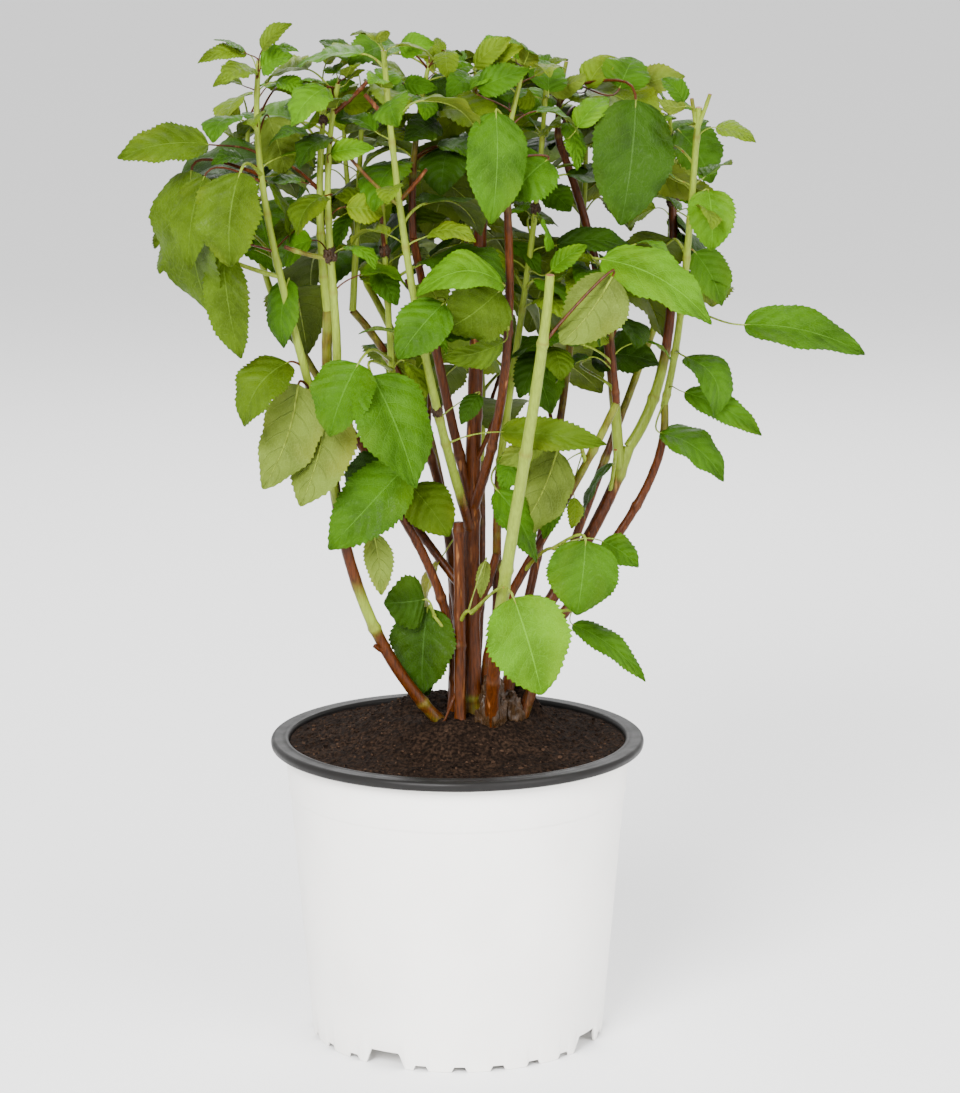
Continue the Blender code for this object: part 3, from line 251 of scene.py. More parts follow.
# The leaves that give the shrub its face, one by one: the place of the
# blade's base and tip, its width, its roll about the midrib, its arch and its
# tint.  at: the share of the way up its stem where the petiole starts, if that is
# not the nearest place.
Leaf = namedtuple("Leaf", "stem base tip width turn arch tint at", defaults=(None,))
LEAVES = [
    Leaf("shoot_left", (-160, -96, 630), (-219, -104, 622), 29, -40, 0.12, "o"),
    Leaf("shoot_left", (-135, -96, 688), (-167, -100, 682), 13, -35, 0.2, "l"),
    Leaf("shoot_left", (-124, -98, 692), (-104, -102, 709), 14, 35, 0.15, "l"),
    Leaf("shoot_left", (-131, -106, 680), (-149, -122, 672), 24, -20, 0.15, "l"),
    Leaf("shoot_left", (-141, -110, 648), (-155, -130, 634), 29, 0, 0.25, "m"),
    Leaf("shoot_left", (-172, -92, 613), (-161, -88, 518), 69, -8, 0.08, "o"),
    Leaf("shoot_left", (-162, -112, 611), (-172, -118, 551), 32, -20, 0.1, "o"),
    Leaf("shoot_left", (-138, -128, 615), (-144, -136, 555), 48, -10, 0.1, "o"),
    Leaf("shoot_left", (-151, -118, 560), (-141, -114, 490), 30, -30, 0.1, "o"),
    Leaf("shoot_left", (-124, -84, 604), (-110, -76, 562), 26, 0, 0.1, "o"),
    Leaf("shoot_left", (-110, -78, 540), (-114, -78, 494), 28, -20, 0.1, "m"),
    Leaf("shoot_left", (-111, -80, 485), (-140, -92, 444), 36, -30, 0.25, "o"),
    Leaf("shoot_left", (-104, -84, 471), (-128, -92, 402), 44, 150, 0.12, "p"),
    Leaf("shoot_left", (-85, -88, 461), (-103, -96, 391), 46, 150, 0.12, "p"),
    Leaf("shoot_left", (-122, -78, 646), (-112, -66, 608), 30, 180, 0.1, "p"),
    Leaf("shoot_left_inner", (-83, -112, 668), (-105, -124, 644), 32, -15, 0.15, "b"),
    Leaf("shoot_left_inner", (-96, -88, 678), (-124, -62, 666), 30, 0, 0.15, "l"),
    Leaf("shoot_left_inner", (-81, -100, 635), (-101, -110, 615), 30, 0, 0.2, "d"),
    Leaf("shoot_left_inner", (-81, -105, 625), (-52, -110, 629), 14, 55, 0.2, "b"),
    Leaf("shoot_left_mid", (-85, -58, 680), (-68, -52, 692), 26, 0, 0.2, "l"),
    Leaf("shoot_left_mid", (-85, -72, 598), (-102, -86, 574), 30, 0, 0.2, "o"),
    Leaf("shoot_left_low", (-55, -98, 479), (-26, -110, 406), 60, -12, 0.05, "m"),
    Leaf("shoot_left_low", (-64, -98, 487), (-83, -108, 440), 46, -20, 0.08, "m"),
    Leaf("shoot_left_low", (-35, -50, 409), (-86, -66, 356), 42, -55, 0.12, "m"),
    Leaf("shoot_left_low", (-46, -34, 408), (-74, -26, 378), 36, -45, 0.15, "d"),
    Leaf("shoot_left_low", (-31, -26, 392), (-5, -36, 359), 34, 20, 0.1, "o"),
    Leaf("shoot_left_low", (-56, -34, 364), (-51, -38, 322), 20, 180, 0.08, "p"),
    Leaf("shoot_front_left", (-8, -100, 527), (-38, -112, 492), 36, -25, 0.08, "m"),
    Leaf("shoot_front_left", (-38, -122, 696), (-14, -128, 688), 18, -20, 0.15, "l"),
    Leaf("shoot_front_left", (-50, -122, 695), (-68, -126, 700), 16, 20, 0.2, "l"),
    Leaf("shoot_front_left", (30, -60, 435), (100, -74, 429), 22, 55, 0.15, "o"),
    Leaf("sprig_centre", (31, -98, 539), (-26, -112, 533), 36, -15, 0.28, "b"),
    Leaf("sprig_centre", (29, -88, 534), (-7, -90, 508), 44, -70, 0.2, "o"),
    Leaf("shoot_centre_right", (27, -45, 393), (54, -52, 344), 35, 10, 0.08, "m"),
    Leaf("shoot_centre", (26, -84, 650), (23, -96, 578), 42, -10, 0.08, "m"),
    Leaf("shoot_centre", (60, -64, 617), (35, -70, 591), 38, -30, 0.15, "m"),
    Leaf("shoot_front", (102, -104, 545), (68, -118, 503), 44, 170, 0.12, "p", 0.08),
    Leaf("shoot_right_front", (93, 46, 469), (140, 42, 465), 44, 40, 0.12, "d"),
    Leaf("sprig_right", (96, -60, 551), (169, -72, 509), 42, 35, 0.16, "b"),
    Leaf("shoot_right", (119, -34, 654), (109, -50, 572), 56, 20, 0.06, "d"),
    Leaf("shoot_right", (74, -24, 638), (80, -44, 608), 18, 0, 0.1, "b"),
    Leaf("shoot_right", (62, -14, 660), (86, -26, 670), 20, -140, 0.1, "l"),
    Leaf("shoot_right", (88, 0, 659), (108, 8, 679), 24, 15, 0.2, "l"),
    Leaf("shoot_right_outer", (172, -36, 636), (199, -40, 626), 19, 30, 0.12, "l"),
    Leaf("shoot_right_outer", (152, -32, 650), (134, -30, 655), 14, 150, 0.2, "l"),
    Leaf("shoot_right_outer", (131, -6, 608), (175, -12, 590), 30, -140, 0.12, "o"),
    Leaf("shoot_right_outer", (169, -16, 592), (171, -26, 552), 31, 50, 0.2, "b"),
    Leaf("shoot_right_outer", (193, -30, 503), (275, -32, 483), 34, 45, 0.12, "m"),
    Leaf("shoot_right_outer", (155, -14, 479), (174, -22, 437), 34, 30, 0.35, "m"),
    Leaf("shoot_right_outer", (155, -4, 453), (208, -10, 424), 20, 60, 0.16, "m"),
    Leaf("shoot_right_outer", (140, 20, 421), (184, 12, 388), 33, 35, 0.16, "m"),
    Leaf("shoot_right_green", (152, 40, 627), (174, 30, 592), 38, 50, 0.12, "m"),
    Leaf("shoot_right_green", (116, 30, 653), (155, 26, 665), 25, 60, 0.14, "p"),
    Leaf("shoot_right_outer", (163, 30, 545), (182, 26, 508), 34, 50, 0.1, "m"),
    Leaf("sprig_low_front", (38, -62, 328), (57, -70, 263), 57, 25, 0.05, "b"),
    Leaf("sprig_low_left", (-20, -22, 307), (-24, -26, 247), 48, -10, 0.06, "d"),
    Leaf("sprig_low_left", (-22, -30, 314), (-50, -34, 312), 37, -75, 0.06, "d"),
    Leaf("sprig_low_left", (-34, -12, 276), (-20, -12, 242), 30, 0, 0.06, "d"),
    Leaf("sprig_mid_right", (68, -40, 419), (38, -46, 359), 40, 180, 0.12, "p"),
    Leaf("sprig_mid_right", (68, -28, 398), (59, -30, 356), 17, 20, 0.08, "m"),
    Leaf("sprig_node_right", (107, 8, 402), (87, 4, 363), 24, 20, 0.1, "m"),
    Leaf("sprig_low_right", (87, -50, 359), (81, -58, 309), 50, 15, 0.05, "m"),
    Leaf("sprig_low_right", (99, -22, 353), (124, -28, 336), 24, 40, 0.1, "m"),
    Leaf("sprig_foot_right", (79, -22, 295), (129, -34, 257), 21, 35, 0.12, "m"),
    Leaf("shoot_front_left", (-12, -4, 336), (-21, -6, 300), 27, 20, 0.1, "y"),
    Leaf("shoot_right", (109, -12, 660), (119, 8, 679), 32, 0, 0.12, "m"),
    Leaf("shoot_left", (-125, -104, 680), (-104, -112, 688), 22, 40, 0.15, "b"),
    Leaf("sprig_mid_right", (57, -50, 435), (28, -52, 412), 26, -110, 0.1, "p"),
    Leaf("sprig_mid_right", (80, -20, 383), (78, -24, 362), 14, 0, 0.1, "l"),
    Leaf("sprig_low_front", (20, -30, 341), (16, -30, 315), 9, 180, 0.05, "p"),
    Leaf("shoot_centre", (12, -75, 679), (36, -85, 698), 16, 50, 0.12, "l"),
    Leaf("shoot_centre", (20, -70, 680), (44, -80, 692), 13, 50, 0.12, "l"),
    Leaf("shoot_centre", (14, -85, 665), (48, -90, 678), 20, 50, 0.12, "m"),
    Leaf("shoot_centre_right", (61, -45, 660), (58, -20, 679), 26, 0, 0.1, "m"),
    Leaf("shoot_bough_left", (-10, -50, 684), (-13, -35, 695), 9, 0, 0.1, "l"),
    Leaf("shoot_bough_left", (-7, -55, 687), (-5, -70, 670), 16, 10, 0.1, "l"),
    Leaf("shoot_bough_left", (9, -60, 672), (-6, -80, 659), 17, -20, 0.15, "m"),
    Leaf("shoot_bough_left", (-34, -60, 667), (-12, -70, 664), 12, 60, 0.15, "m"),
    Leaf("shoot_bough_left", (-13, -30, 671), (-10, -50, 647), 14, 20, 0.1, "d"),
    Leaf("shoot_bough_left", (-12, -40, 640), (-34, -60, 629), 23, -30, 0.1, "d"),
    Leaf("shoot_bough_left", (-6, -30, 622), (-10, -50, 592), 32, 10, 0.1, "d"),
    Leaf("shoot_centre", (42, -30, 646), (14, -40, 652), 13, -50, 0.15, "d"),
    Leaf("shoot_right", (80, -50, 637), (101, -30, 655), 20, 0, 0.12, "b"),
    Leaf("shoot_centre_right", (61, 0, 591), (77, -10, 577), 22, 50, 0.12, "m"),
    Leaf("sprig_centre", (31, -85, 499), (-9, -95, 491), 24, -100, 0.1, "o"),
    Leaf("shoot_centre_right", (65, -30, 488), (70, -50, 468), 22, 10, 0.1, "o"),
    Leaf("shoot_centre_right", (63, -50, 542), (87, -50, 559), 14, 40, 0.12, "b"),
    Leaf("shoot_centre_right", (67, -15, 555), (123, 5, 545), 20, 40, 0.2, "d"),
    Leaf("shoot_centre_right", (36, 0, 555), (56, -20, 535), 20, 20, 0.12, "m"),
    Leaf("shoot_left_low", (-53, -50, 544), (-39, -60, 520), 18, 20, 0.12, "m"),
    Leaf("shoot_left_back", (-69, -20, 678), (-92, -5, 691), 17, 0, 0.12, "d"),
    Leaf("shoot_left_mid", (-69, -30, 578), (-79, -40, 555), 18, 0, 0.12, "m"),
    Leaf("shoot_centre_right", (57, -10, 481), (42, -30, 453), 22, 0, 0.12, "d"),
    Leaf("shoot_left", (-103, -60, 576), (-122, -70, 563), 17, -20, 0.12, "o"),
    Leaf("shoot_front_left", (15, -50, 459), (3, -60, 440), 14, -10, 0.12, "d"),
    Leaf("shoot_centre_right", (38, -30, 415), (31, -40, 390), 17, 0, 0.12, "m"),
]

# How green a stem is, at even steps from its foot to its tip; 0 is brown bark.
GREEN = {
    "trunk": (0.35, 0.35, 0.0) + (0.0,) * 14,
    "limb_left": (0.34, 0.28, 0.1, 0.7, 0.1, 0.0, 0.0, 0.3, 0.5), "limb_left_low": (0.0, 0.0, 0.1),
    "limb_left_back": (0.0, 0.1, 0.4), "limb_front": (0.0, 0.0, 0.75, 1.0, 1.0, 1.0),
    "limb_centre_right": (0.0, 0.2, 0.4), "limb_right_front": (0.3, 0.1, 0.5),
    "limb_right": (0.1, 0.0, 0.0, 0.0, 0.0, 0.0, 0.9),
    "limb_right_outer": (0.0, 0.0, 0.05, 0.1, 0.5), "limb_back_right": (0.1, 0.2, 0.5),
    "limb_far_right": (0.0, 0.2, 0.5), "limb_back": (0.1, 0.3, 0.6),
    "limb_back_left": (0.1, 0.3, 0.6), "cut_stem_front": (0.0, 0.0), "cut_stem_right": (0.28, 0.2),
    "cut_stub": (0.2, 0.1), "bough_far_left": (0.0, 0.2, 0.5), "bough_left": (0.0, 0.1),
    "bough_centre": (0.0, 0.1, 0.3), "bough_right": (1.0, 0.5, 0.0, 0.0, 0.0, 0.1),
    "shoot_right_front": (0.0, 0.0, 0.5), "bough_right_green": (1.0, 1.0, 0.1, 0.0, 0.3),
    "shoot_trunk": (0.0, 0.6), "shoot_centre": (0.3, 0.7), "shoot_right": (0.1, 0.6),
    "shoot_bough_left": (0.1, 0.7), "shoot_front_left": (0.0, 0.7) + (1.0,) * 6,
    "sprig_low_left": (0.5, 0.6), "sprig_low_front": (0.5, 0.7), "sprig_low_right": (0.45, 0.6),
}

# Stubs of petioles and side shoots that were cut or broken off.
Twig = namedtuple("Twig", "parent at tip radii green")
TWIGS = [
    Twig("shoot_left_inner", 0.93, (-57, -101, 671), (1.6, 1.3), (0.0, 0.0)),
    Twig("shoot_front_left", 0.89, (-58, -117, 664), (1.7, 1.4), (0.0, 0.0)),
    Twig("shoot_front_left", 0.89, (-35, -117, 662), (1.6, 1.4), (0.1, 0.0)),
    Twig("shoot_front_left", 0.75, (-19, -107, 615), (1.6, 1.2), (0.4, 0.1)),
    Twig("shoot_front_left", 0.74, (-68, -106, 622), (1.4, 1.0), (0.5, 0.2)),
    Twig("shoot_left", 0.52, (-165, -89, 562), (1.7, 1.2), (0.8, 0.3)),
    Twig("shoot_left_inner", 0.55, (-112, -92, 563), (1.7, 1.4), (0.6, 0.3)),
    Twig("shoot_left_low", 0.80, (-50, -54, 582), (1.5, 1.3), (0.0, 0.0)),
    Twig("shoot_right_outer", 0.93, (156, -37, 655), (1.6, 1.3), (0.8, 0.5)),
    Twig("shoot_right_outer", 0.94, (168, -38, 658), (1.6, 1.3), (0.8, 0.5)),
    Twig("limb_left", 0.255, (-56, -45, 285), (2.0, 1.6), (0.3, 0.1)),
    Twig("cut_stem_front", 0.22, (-12, -38, 224), (1.1, 0.7), (0.0, 0.0)),
    Twig("trunk", 0.10, (-2, -9, 226), (1.3, 0.8), (0.0, 0.0)),
    Twig("bough_left", 0.62, (-34, -34, 534), (1.5, 1.1), (0.1, 0.0)),
    Twig("trunk", 0.52, (28, -22, 444), (1.8, 1.5), (0.0, 0.0)),
    Twig("bough_right", 0.36, (112, 14, 503), (1.5, 1.1), (0.2, 0.1)),
    Twig("shoot_middle", 0.6, (4, 40, 560), (1.5, 1.1), (0.5, 0.2)),
    Twig("limb_back_right", 0.66, (60, 84, 452), (1.5, 1.2), (0.2, 0.1)),
    Twig("limb_back", 0.62, (30, 92, 452), (1.5, 1.2), (0.2, 0.1)),
    Twig("limb_back_left", 0.6, (-20, 78, 452), (1.5, 1.2), (0.2, 0.1)),
    Twig("bough_far_left", 0.66, (-84, 40, 448), (1.5, 1.2), (0.2, 0.1)),
]

# Lumps of gnarled wood at the foot, as places and half sizes, and papery bud scales
# at nodes of the shoots, as stem, share of the way up it and half size.
FOOT_LUMPS = [(23, -35, 236, 7, 6, 16), (28, -30, 233, 6, 6, 13), (17, -34, 230, 5, 5, 9),
              (36, -16, 231, 9, 8, 15), (24, -20, 241, 8, 7, 18)]
BUD_SCALES = [("shoot_left_inner", 0.56, 4.4), ("shoot_left_low", 0.81, 3.6),
              ("shoot_right_green", 0.04, 4.2), ("shoot_front_left", 0.31, 3.8),
              ("shoot_centre_right", 0.70, 3.4), ("shoot_left_mid", 0.90, 3.0)]

# ---- leaf surface --------------------------------------------------------------
VEIN_PAIRS = 6                 # side veins on each half of a blade
VEIN_LEAN = 0.27               # how far a side vein climbs from midrib to margin
ACROSS = (-1.0, -0.68, -0.3, 0.0, 0.3, 0.68, 1.0)
# Pieces of blades: shortest and longest blade, and the teeth on half a margin.
LEAF_PIECES = {"leaves_large": (0.050, 1.0, 19), "leaves_middle": (0.032, 0.050, 14),
               "leaves_small": (0.0, 0.032, 9)}
# Tints of a blade: a name, its upper side and its lower side.  Bright, middle
# and dark are one green at three strengths: besides the leaves' own tones they hold
# painted light on leaves that face the lamps and painted shade on leaves deep in
# the crown, and olive holds painted shade too.
TINTS = {
    "b": ("bright", (0.060, 0.160, 0.001), (0.085, 0.145, 0.006)),
    "m": ("middle", (0.034, 0.096, 0.001), (0.070, 0.108, 0.008)),
    "d": ("dark", (0.017, 0.047, 0.001), (0.050, 0.076, 0.006)),
    "p": ("pale", (0.088, 0.132, 0.010), (0.094, 0.134, 0.015)),
    "y": ("yellowed", (0.180, 0.200, 0.003), (0.160, 0.180, 0.010)),
    "l": ("light", (0.090, 0.150, 0.003), (0.105, 0.155, 0.010)),
    "o": ("olive", (0.046, 0.086, 0.001), (0.062, 0.092, 0.004)),
}
# Shoots on which two petioles in three are red.
RED_PETIOLES = ("shoot_front", "shoot_left", "shoot_left_inner", "shoot_left_mid",
                "shoot_bough_left", "shoot_centre", "shoot_far_left", "shoot_right")

# ---- counts --------------------------------------------------------------------
STEM_STEPS = 96
STEM_SIDES = 12
MOST_KNOTS = 14
PETIOLE_STEPS = 9              # rings up to the blade, and as many again along it
PETIOLE_SIDES = 7

# ---- studio --------------------------------------------------------------------
FLOOR_REACH = 40
LAMP_AIM = Vector((0.02, 0.0, 0.38))
# Lamps: name, place, size and share of the main light's strength.
LAMPS = (("key", (-0.9, -2.5, 1.9), 1.3, 1.0), ("fill", (2.0, -1.9, 1.2), 1.8, 0.4),
         ("rear", (0.2, 2.1, 2.2), 1.6, 0.25))


# ---- curves --------------------------------------------------------------------
def bend(foot, elbow, tip, share):
    """A point of the curve that leaves foot towards elbow and ends at tip."""
    back = 1.0 - share
    return foot * (back * back) + elbow * (2 * back * share) + tip * (share * share)


def sweep(foot, low, high, tip, share):
    """A point of the curve that leaves foot towards low and reaches tip from high."""
    start = bend(foot, low, high, share)
    end = bend(low, high, tip, share)
    return start + (end - start) * share


def unit(vectors):
    """Vectors divided by their length."""
    return vectors / np.linalg.norm(vectors, axis=-1, keepdims=True)


def ripple(places, wave):
    """Smooth relief from -1 to 1: five sine waves across space, none a multiple of another."""
    turns = np.array([[1.0, 0.3, 0.5], [-0.6, 1.1, 0.4], [0.4, -0.9, 1.3],
                      [1.7, 0.8, -1.1], [-1.3, 1.9, 2.1]])
    phases = places @ turns.T * (2 * math.pi / wave) + np.array([0.3, 1.9, 4.1, 2.7, 5.2])
    heights = np.sin(phases + 0.8 * np.sin(phases[..., ::-1] * 0.37))
    return heights @ np.array([0.3, 0.25, 0.2, 0.15, 0.1])


# ---- meshes --------------------------------------------------------------------
# A mesh as made by skin(): its object, the point of each face corner, the body and
# the place round the ring of each face, its corners' number, and points in a body.
Skin = namedtuple("Skin", "thing corners body place sizes per")


def skin(name, rings, poles, materials, slots=None):
    """Closed bodies from rings of points: N bodies of S rings with M points each.

    Quads join each ring to the next; those on the second half of a ring start one
    corner later, so that both faces of a blade are creased the same way.  The poles
    close the ends with fans; without them the last ring joins the first.  A body
    whose volume is below nought has its faces turned.  slots gives a face its
    material from its body, row and place.
    """
    bodies, rows, sides = rings.shape[:3]
    near = np.arange(sides)
    far = (near + 1) % sides
    low = np.arange(rows - 1 if poles is not None else rows)[:, None]
    high = (low + 1) % rows
    quads = np.stack(np.broadcast_arrays(low * sides + near, low * sides + far,
                                         high * sides + far, high * sides + near), -1)
    quads[:, sides // 2:] = np.roll(quads[:, sides // 2:], -1, axis=-1)
    quads = quads.reshape(-1, 4)
    points = rings.reshape(bodies, -1, 3)
    per = rows * sides
    fans = np.zeros((0, 3), int)
    if poles is not None:
        points = np.concatenate([points, poles], axis=1)
        last = (rows - 1) * sides
        fans = np.concatenate([np.stack([np.full(sides, per), far, near], -1),
                               np.stack([np.full(sides, per + 1), last + near, last + far], -1)])
        per += 2
    middle = points.mean(axis=1, keepdims=True)
    local = points - middle
    halves = np.concatenate([quads[:, [0, 1, 2]], quads[:, [0, 2, 3]], fans])
    a, b, c = (local[:, halves[:, k]] for k in range(3))
    inward = (a * np.cross(b, c)).sum(axis=(1, 2)) < 0
    shift = (np.arange(bodies) * per)[:, None, None]
    all_quads = quads + shift
    all_fans = fans + shift
    all_quads[inward] = all_quads[inward][..., ::-1]
    all_fans[inward] = all_fans[inward][..., ::-1]
    corners = np.concatenate([all_quads.ravel(), all_fans.ravel()])
    sizes = np.concatenate([np.full(bodies * len(quads), 4), np.full(bodies * len(fans), 3)])
    body = np.concatenate([np.repeat(np.arange(bodies), len(quads)),
                           np.repeat(np.arange(bodies), len(fans))])
    row = np.concatenate([np.tile(np.repeat(low[:, 0], sides), bodies),
                          np.tile(np.repeat([0, rows], sides), bodies)[:len(fans) * bodies]])
    place = np.concatenate([np.tile(near, bodies * len(low)),
                            np.tile(near, 2 * bodies)[:len(fans) * bodies]])
    mesh = bpy.data.meshes.new(name)
    mesh.vertices.add(bodies * per)
    mesh.vertices.foreach_set("co", points.ravel())
    mesh.loops.add(len(corners))
    mesh.loops.foreach_set("vertex_index", corners)
    mesh.polygons.add(len(sizes))
    mesh.polygons.foreach_set("loop_start", np.cumsum(sizes) - sizes)
    for finish in materials:
        mesh.materials.append(finish)
    if slots is not None:
        mesh.polygons.foreach_set("material_index", slots(body, row, place))
    mesh.update(calc_edges=True)
    mesh.shade_smooth()
    mesh.set_sharp_from_angle(angle=math.radians(50))
    thing = bpy.data.objects.new(name, mesh)
    bpy.context.scene.collection.objects.link(thing)
    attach(thing, "root")
    return Skin(thing, corners, body, place, sizes, per)


def tubes(centres, radii):
    """Rings of points round N paths: a circle square to the path, scaled by its radius.

    The circle starts from the axis that the path runs least along.
    """
    sides = radii.shape[-1]
    along = unit(np.gradient(centres, axis=1))
    run = np.abs(centres[:, -1] - centres[:, 0])
    axis = np.eye(3)[np.argmin(run, axis=1)][:, None, :]
    side = unit(np.cross(along, axis))
    up = np.cross(side, along)
    angle = np.linspace(0, 2 * math.pi, sides, endpoint=False)
    spokes = (side[:, :, None] * np.cos(angle)[:, None]
              + up[:, :, None] * np.sin(angle)[:, None])
    return centres[:, :, None] + spokes * radii[..., None]


def paint(piece, name, values):
    """Write one number a point as an attribute that the materials read."""
    layer = piece.data.attributes.new(name, "FLOAT", "POINT")
    layer.data.foreach_set("value", np.clip(values, 0, 1).ravel())


def lathe(profile, turns):
    """Rings for a turned piece: each point (radius, height) of the profile carried round +Z."""
    radius, height = profile[..., 0], profile[..., 1]
    if radius.ndim == 1:
        radius = np.repeat(radius[:, None], len(turns), axis=1)
        height = np.repeat(height[:, None], len(turns), axis=1)
    return np.stack([radius * np.cos(turns), radius * np.sin(turns), height], -1)[None]


def soften(profile, cut, closed):
    """Round a profile's corners: each becomes two points a little way along its sides."""
    for reach in (cut, cut * 0.4):
        before = np.roll(profile, 1, axis=0) - profile
        after = np.roll(profile, -1, axis=0) - profile
        steps = []
        for side in (before, after):
            size = np.maximum(np.linalg.norm(side, axis=1, keepdims=True), 1e-9)
            steps.append(profile + side * np.minimum(reach / size, 0.45))
        rounded = np.stack(steps, axis=1).reshape(-1, 2)
        if not closed:
            rounded = np.concatenate([profile[:1], rounded[2:-2], profile[-1:]])
        profile = rounded
    return profile


# ---- finishes ------------------------------------------------------------------
def shade(colour, factor, lift=0.0):
    """A colour times a factor, with a little white added."""
    return tuple(c * factor + lift for c in colour)


class Finish:
    """A procedural material: short calls for its nodes and the links between them."""

    def __init__(self, name, colour, roughness, specular=0.5):
        self.material = bpy.data.materials.new(name)
        self.material.use_nodes = True
        self.tree = self.material.node_tree
        self.shader = self.tree.nodes["Principled BSDF"]
        self.shader.inputs["Base Color"].default_value = (*colour, 1)
        self.shader.inputs["Roughness"].default_value = roughness
        self.shader.inputs["Specular IOR Level"].default_value = specular

    def node(self, kind, *links, **settings):
        """Add a node; links are (socket, output or number) pairs."""
        node = self.tree.nodes.new("ShaderNode" + kind)
        for setting, value in settings.items():
            setattr(node, setting, value)
        for socket, source in links:
            if isinstance(source, bpy.types.NodeSocket):
                self.tree.links.new(source, node.inputs[socket])
            else:
                node.inputs[socket].default_value = source
        return node

    def here(self):
        """The place on the piece."""
        return self.node("TexCoord").outputs["Object"]

    def noise(self, scale, detail=4.0, where=None):
        """Cloudy noise, scale in turns a metre unless another place is given."""
        return self.node("TexNoise", ("Vector", where or self.here()), ("Scale", scale),
                         ("Detail", detail)).outputs["Fac"]

    def maths(self, operation, first, second=0.0, third=0.0):
        """The outcome of an operation on numbers or outputs."""
        return self.node("Math", (0, first), (1, second), (2, third),
                         operation=operation).outputs[0]

    def ramp(self, value, low, high, start=0.0, end=1.0):
        """Value between low and high spread over start to end."""
        node = self.node("MapRange", ("Value", value), ("From Min", low), ("From Max", high),
                         ("To Min", start), ("To Max", end), interpolation_type="SMOOTHSTEP")
        return node.outputs["Result"]

    def mix(self, factor, *colours):
        """Colour between two colours or outputs."""
        first, second = (c if isinstance(c, bpy.types.NodeSocket) else (*c, 1) for c in colours)
        return self.node("Mix", (0, factor), (6, first), (7, second),
                         data_type="RGBA").outputs[2]

    def use(self, socket, output):
        """Link an output to the shader."""
        self.tree.links.new(output, self.shader.inputs[socket])

    def bump(self, height, distance, strength):
        """Relief of the surface, distance in metres."""
        node = self.node("Bump", ("Height", height), ("Distance", distance),
                         ("Strength", strength))
        self.use("Normal", node.outputs[0])


def pot_finish(name, colour, roughness, specular=0.5):
    """Satin moulded plastic with a faint orange-peel surface and faint cloudy patches a little
    darker.
    """
    finish = Finish(name, colour, roughness, specular)
    cloud = finish.ramp(finish.noise(14.0, 3.0), 0.35, 0.75)
    finish.use("Base Color", finish.mix(cloud, colour, shade(colour, 0.93)))
    finish.use("Roughness", finish.ramp(finish.noise(60.0), 0.3, 0.7, roughness - 0.06,
                                        roughness + 0.08))
    finish.bump(finish.noise(900.0, 2.0), 0.00006, 0.35)
    return finish.material


def soil_finish(name, colour, pale):
    """Dark peaty soil: fibres and lumps, some of them lighter."""
    finish = Finish(name, colour, 0.95, 0.05)
    lumps = finish.noise(420.0, 8.0)
    patches = finish.noise(45.0, 4.0)
    dark = finish.mix(finish.ramp(lumps, 0.35, 0.75), colour, pale)
    finish.use("Base Color", finish.mix(finish.ramp(patches, 0.3, 0.7, 0.0, 0.5), dark, colour))
    finish.bump(lumps, 0.0016, 0.9)
    return finish.material


def stem_finish(name, bark, flake, green):
    """Bark over green: the attribute says how green, with fine lengthwise lines and flecks."""
    finish = Finish(name, bark, 0.36, 0.14)
    stretched = finish.node("Mapping", ("Vector", finish.here()),
                            ("Scale", (1.0, 1.0, 0.14))).outputs[0]
    lines = finish.noise(900.0, 5.0, stretched)
    flecks = finish.noise(240.0, 6.0, stretched)
    old = finish.mix(finish.ramp(lines, 0.35, 0.7), bark, shade(bark, 0.42))
    old = finish.mix(finish.ramp(flecks, 0.62, 0.74), old, flake)
    young = finish.mix(finish.ramp(lines, 0.3, 0.75), green, shade(green, 0.72))
    amount = finish.node("Attribute", attribute_name="green").outputs["Fac"]
    rough = finish.maths("MULTIPLY_ADD", finish.noise(70.0), 0.5, -0.25)
    edge = finish.ramp(finish.maths("ADD", amount, rough), 0.25, 0.7)
    both = finish.mix(edge, old, young)
    scar = finish.node("Attribute", attribute_name="scar").outputs["Fac"]
    finish.use("Base Color", finish.mix(scar, both, shade(flake, 0.5)))
    finish.bump(finish.maths("ADD", lines, flecks), 0.0005, 0.6)
    return finish.material


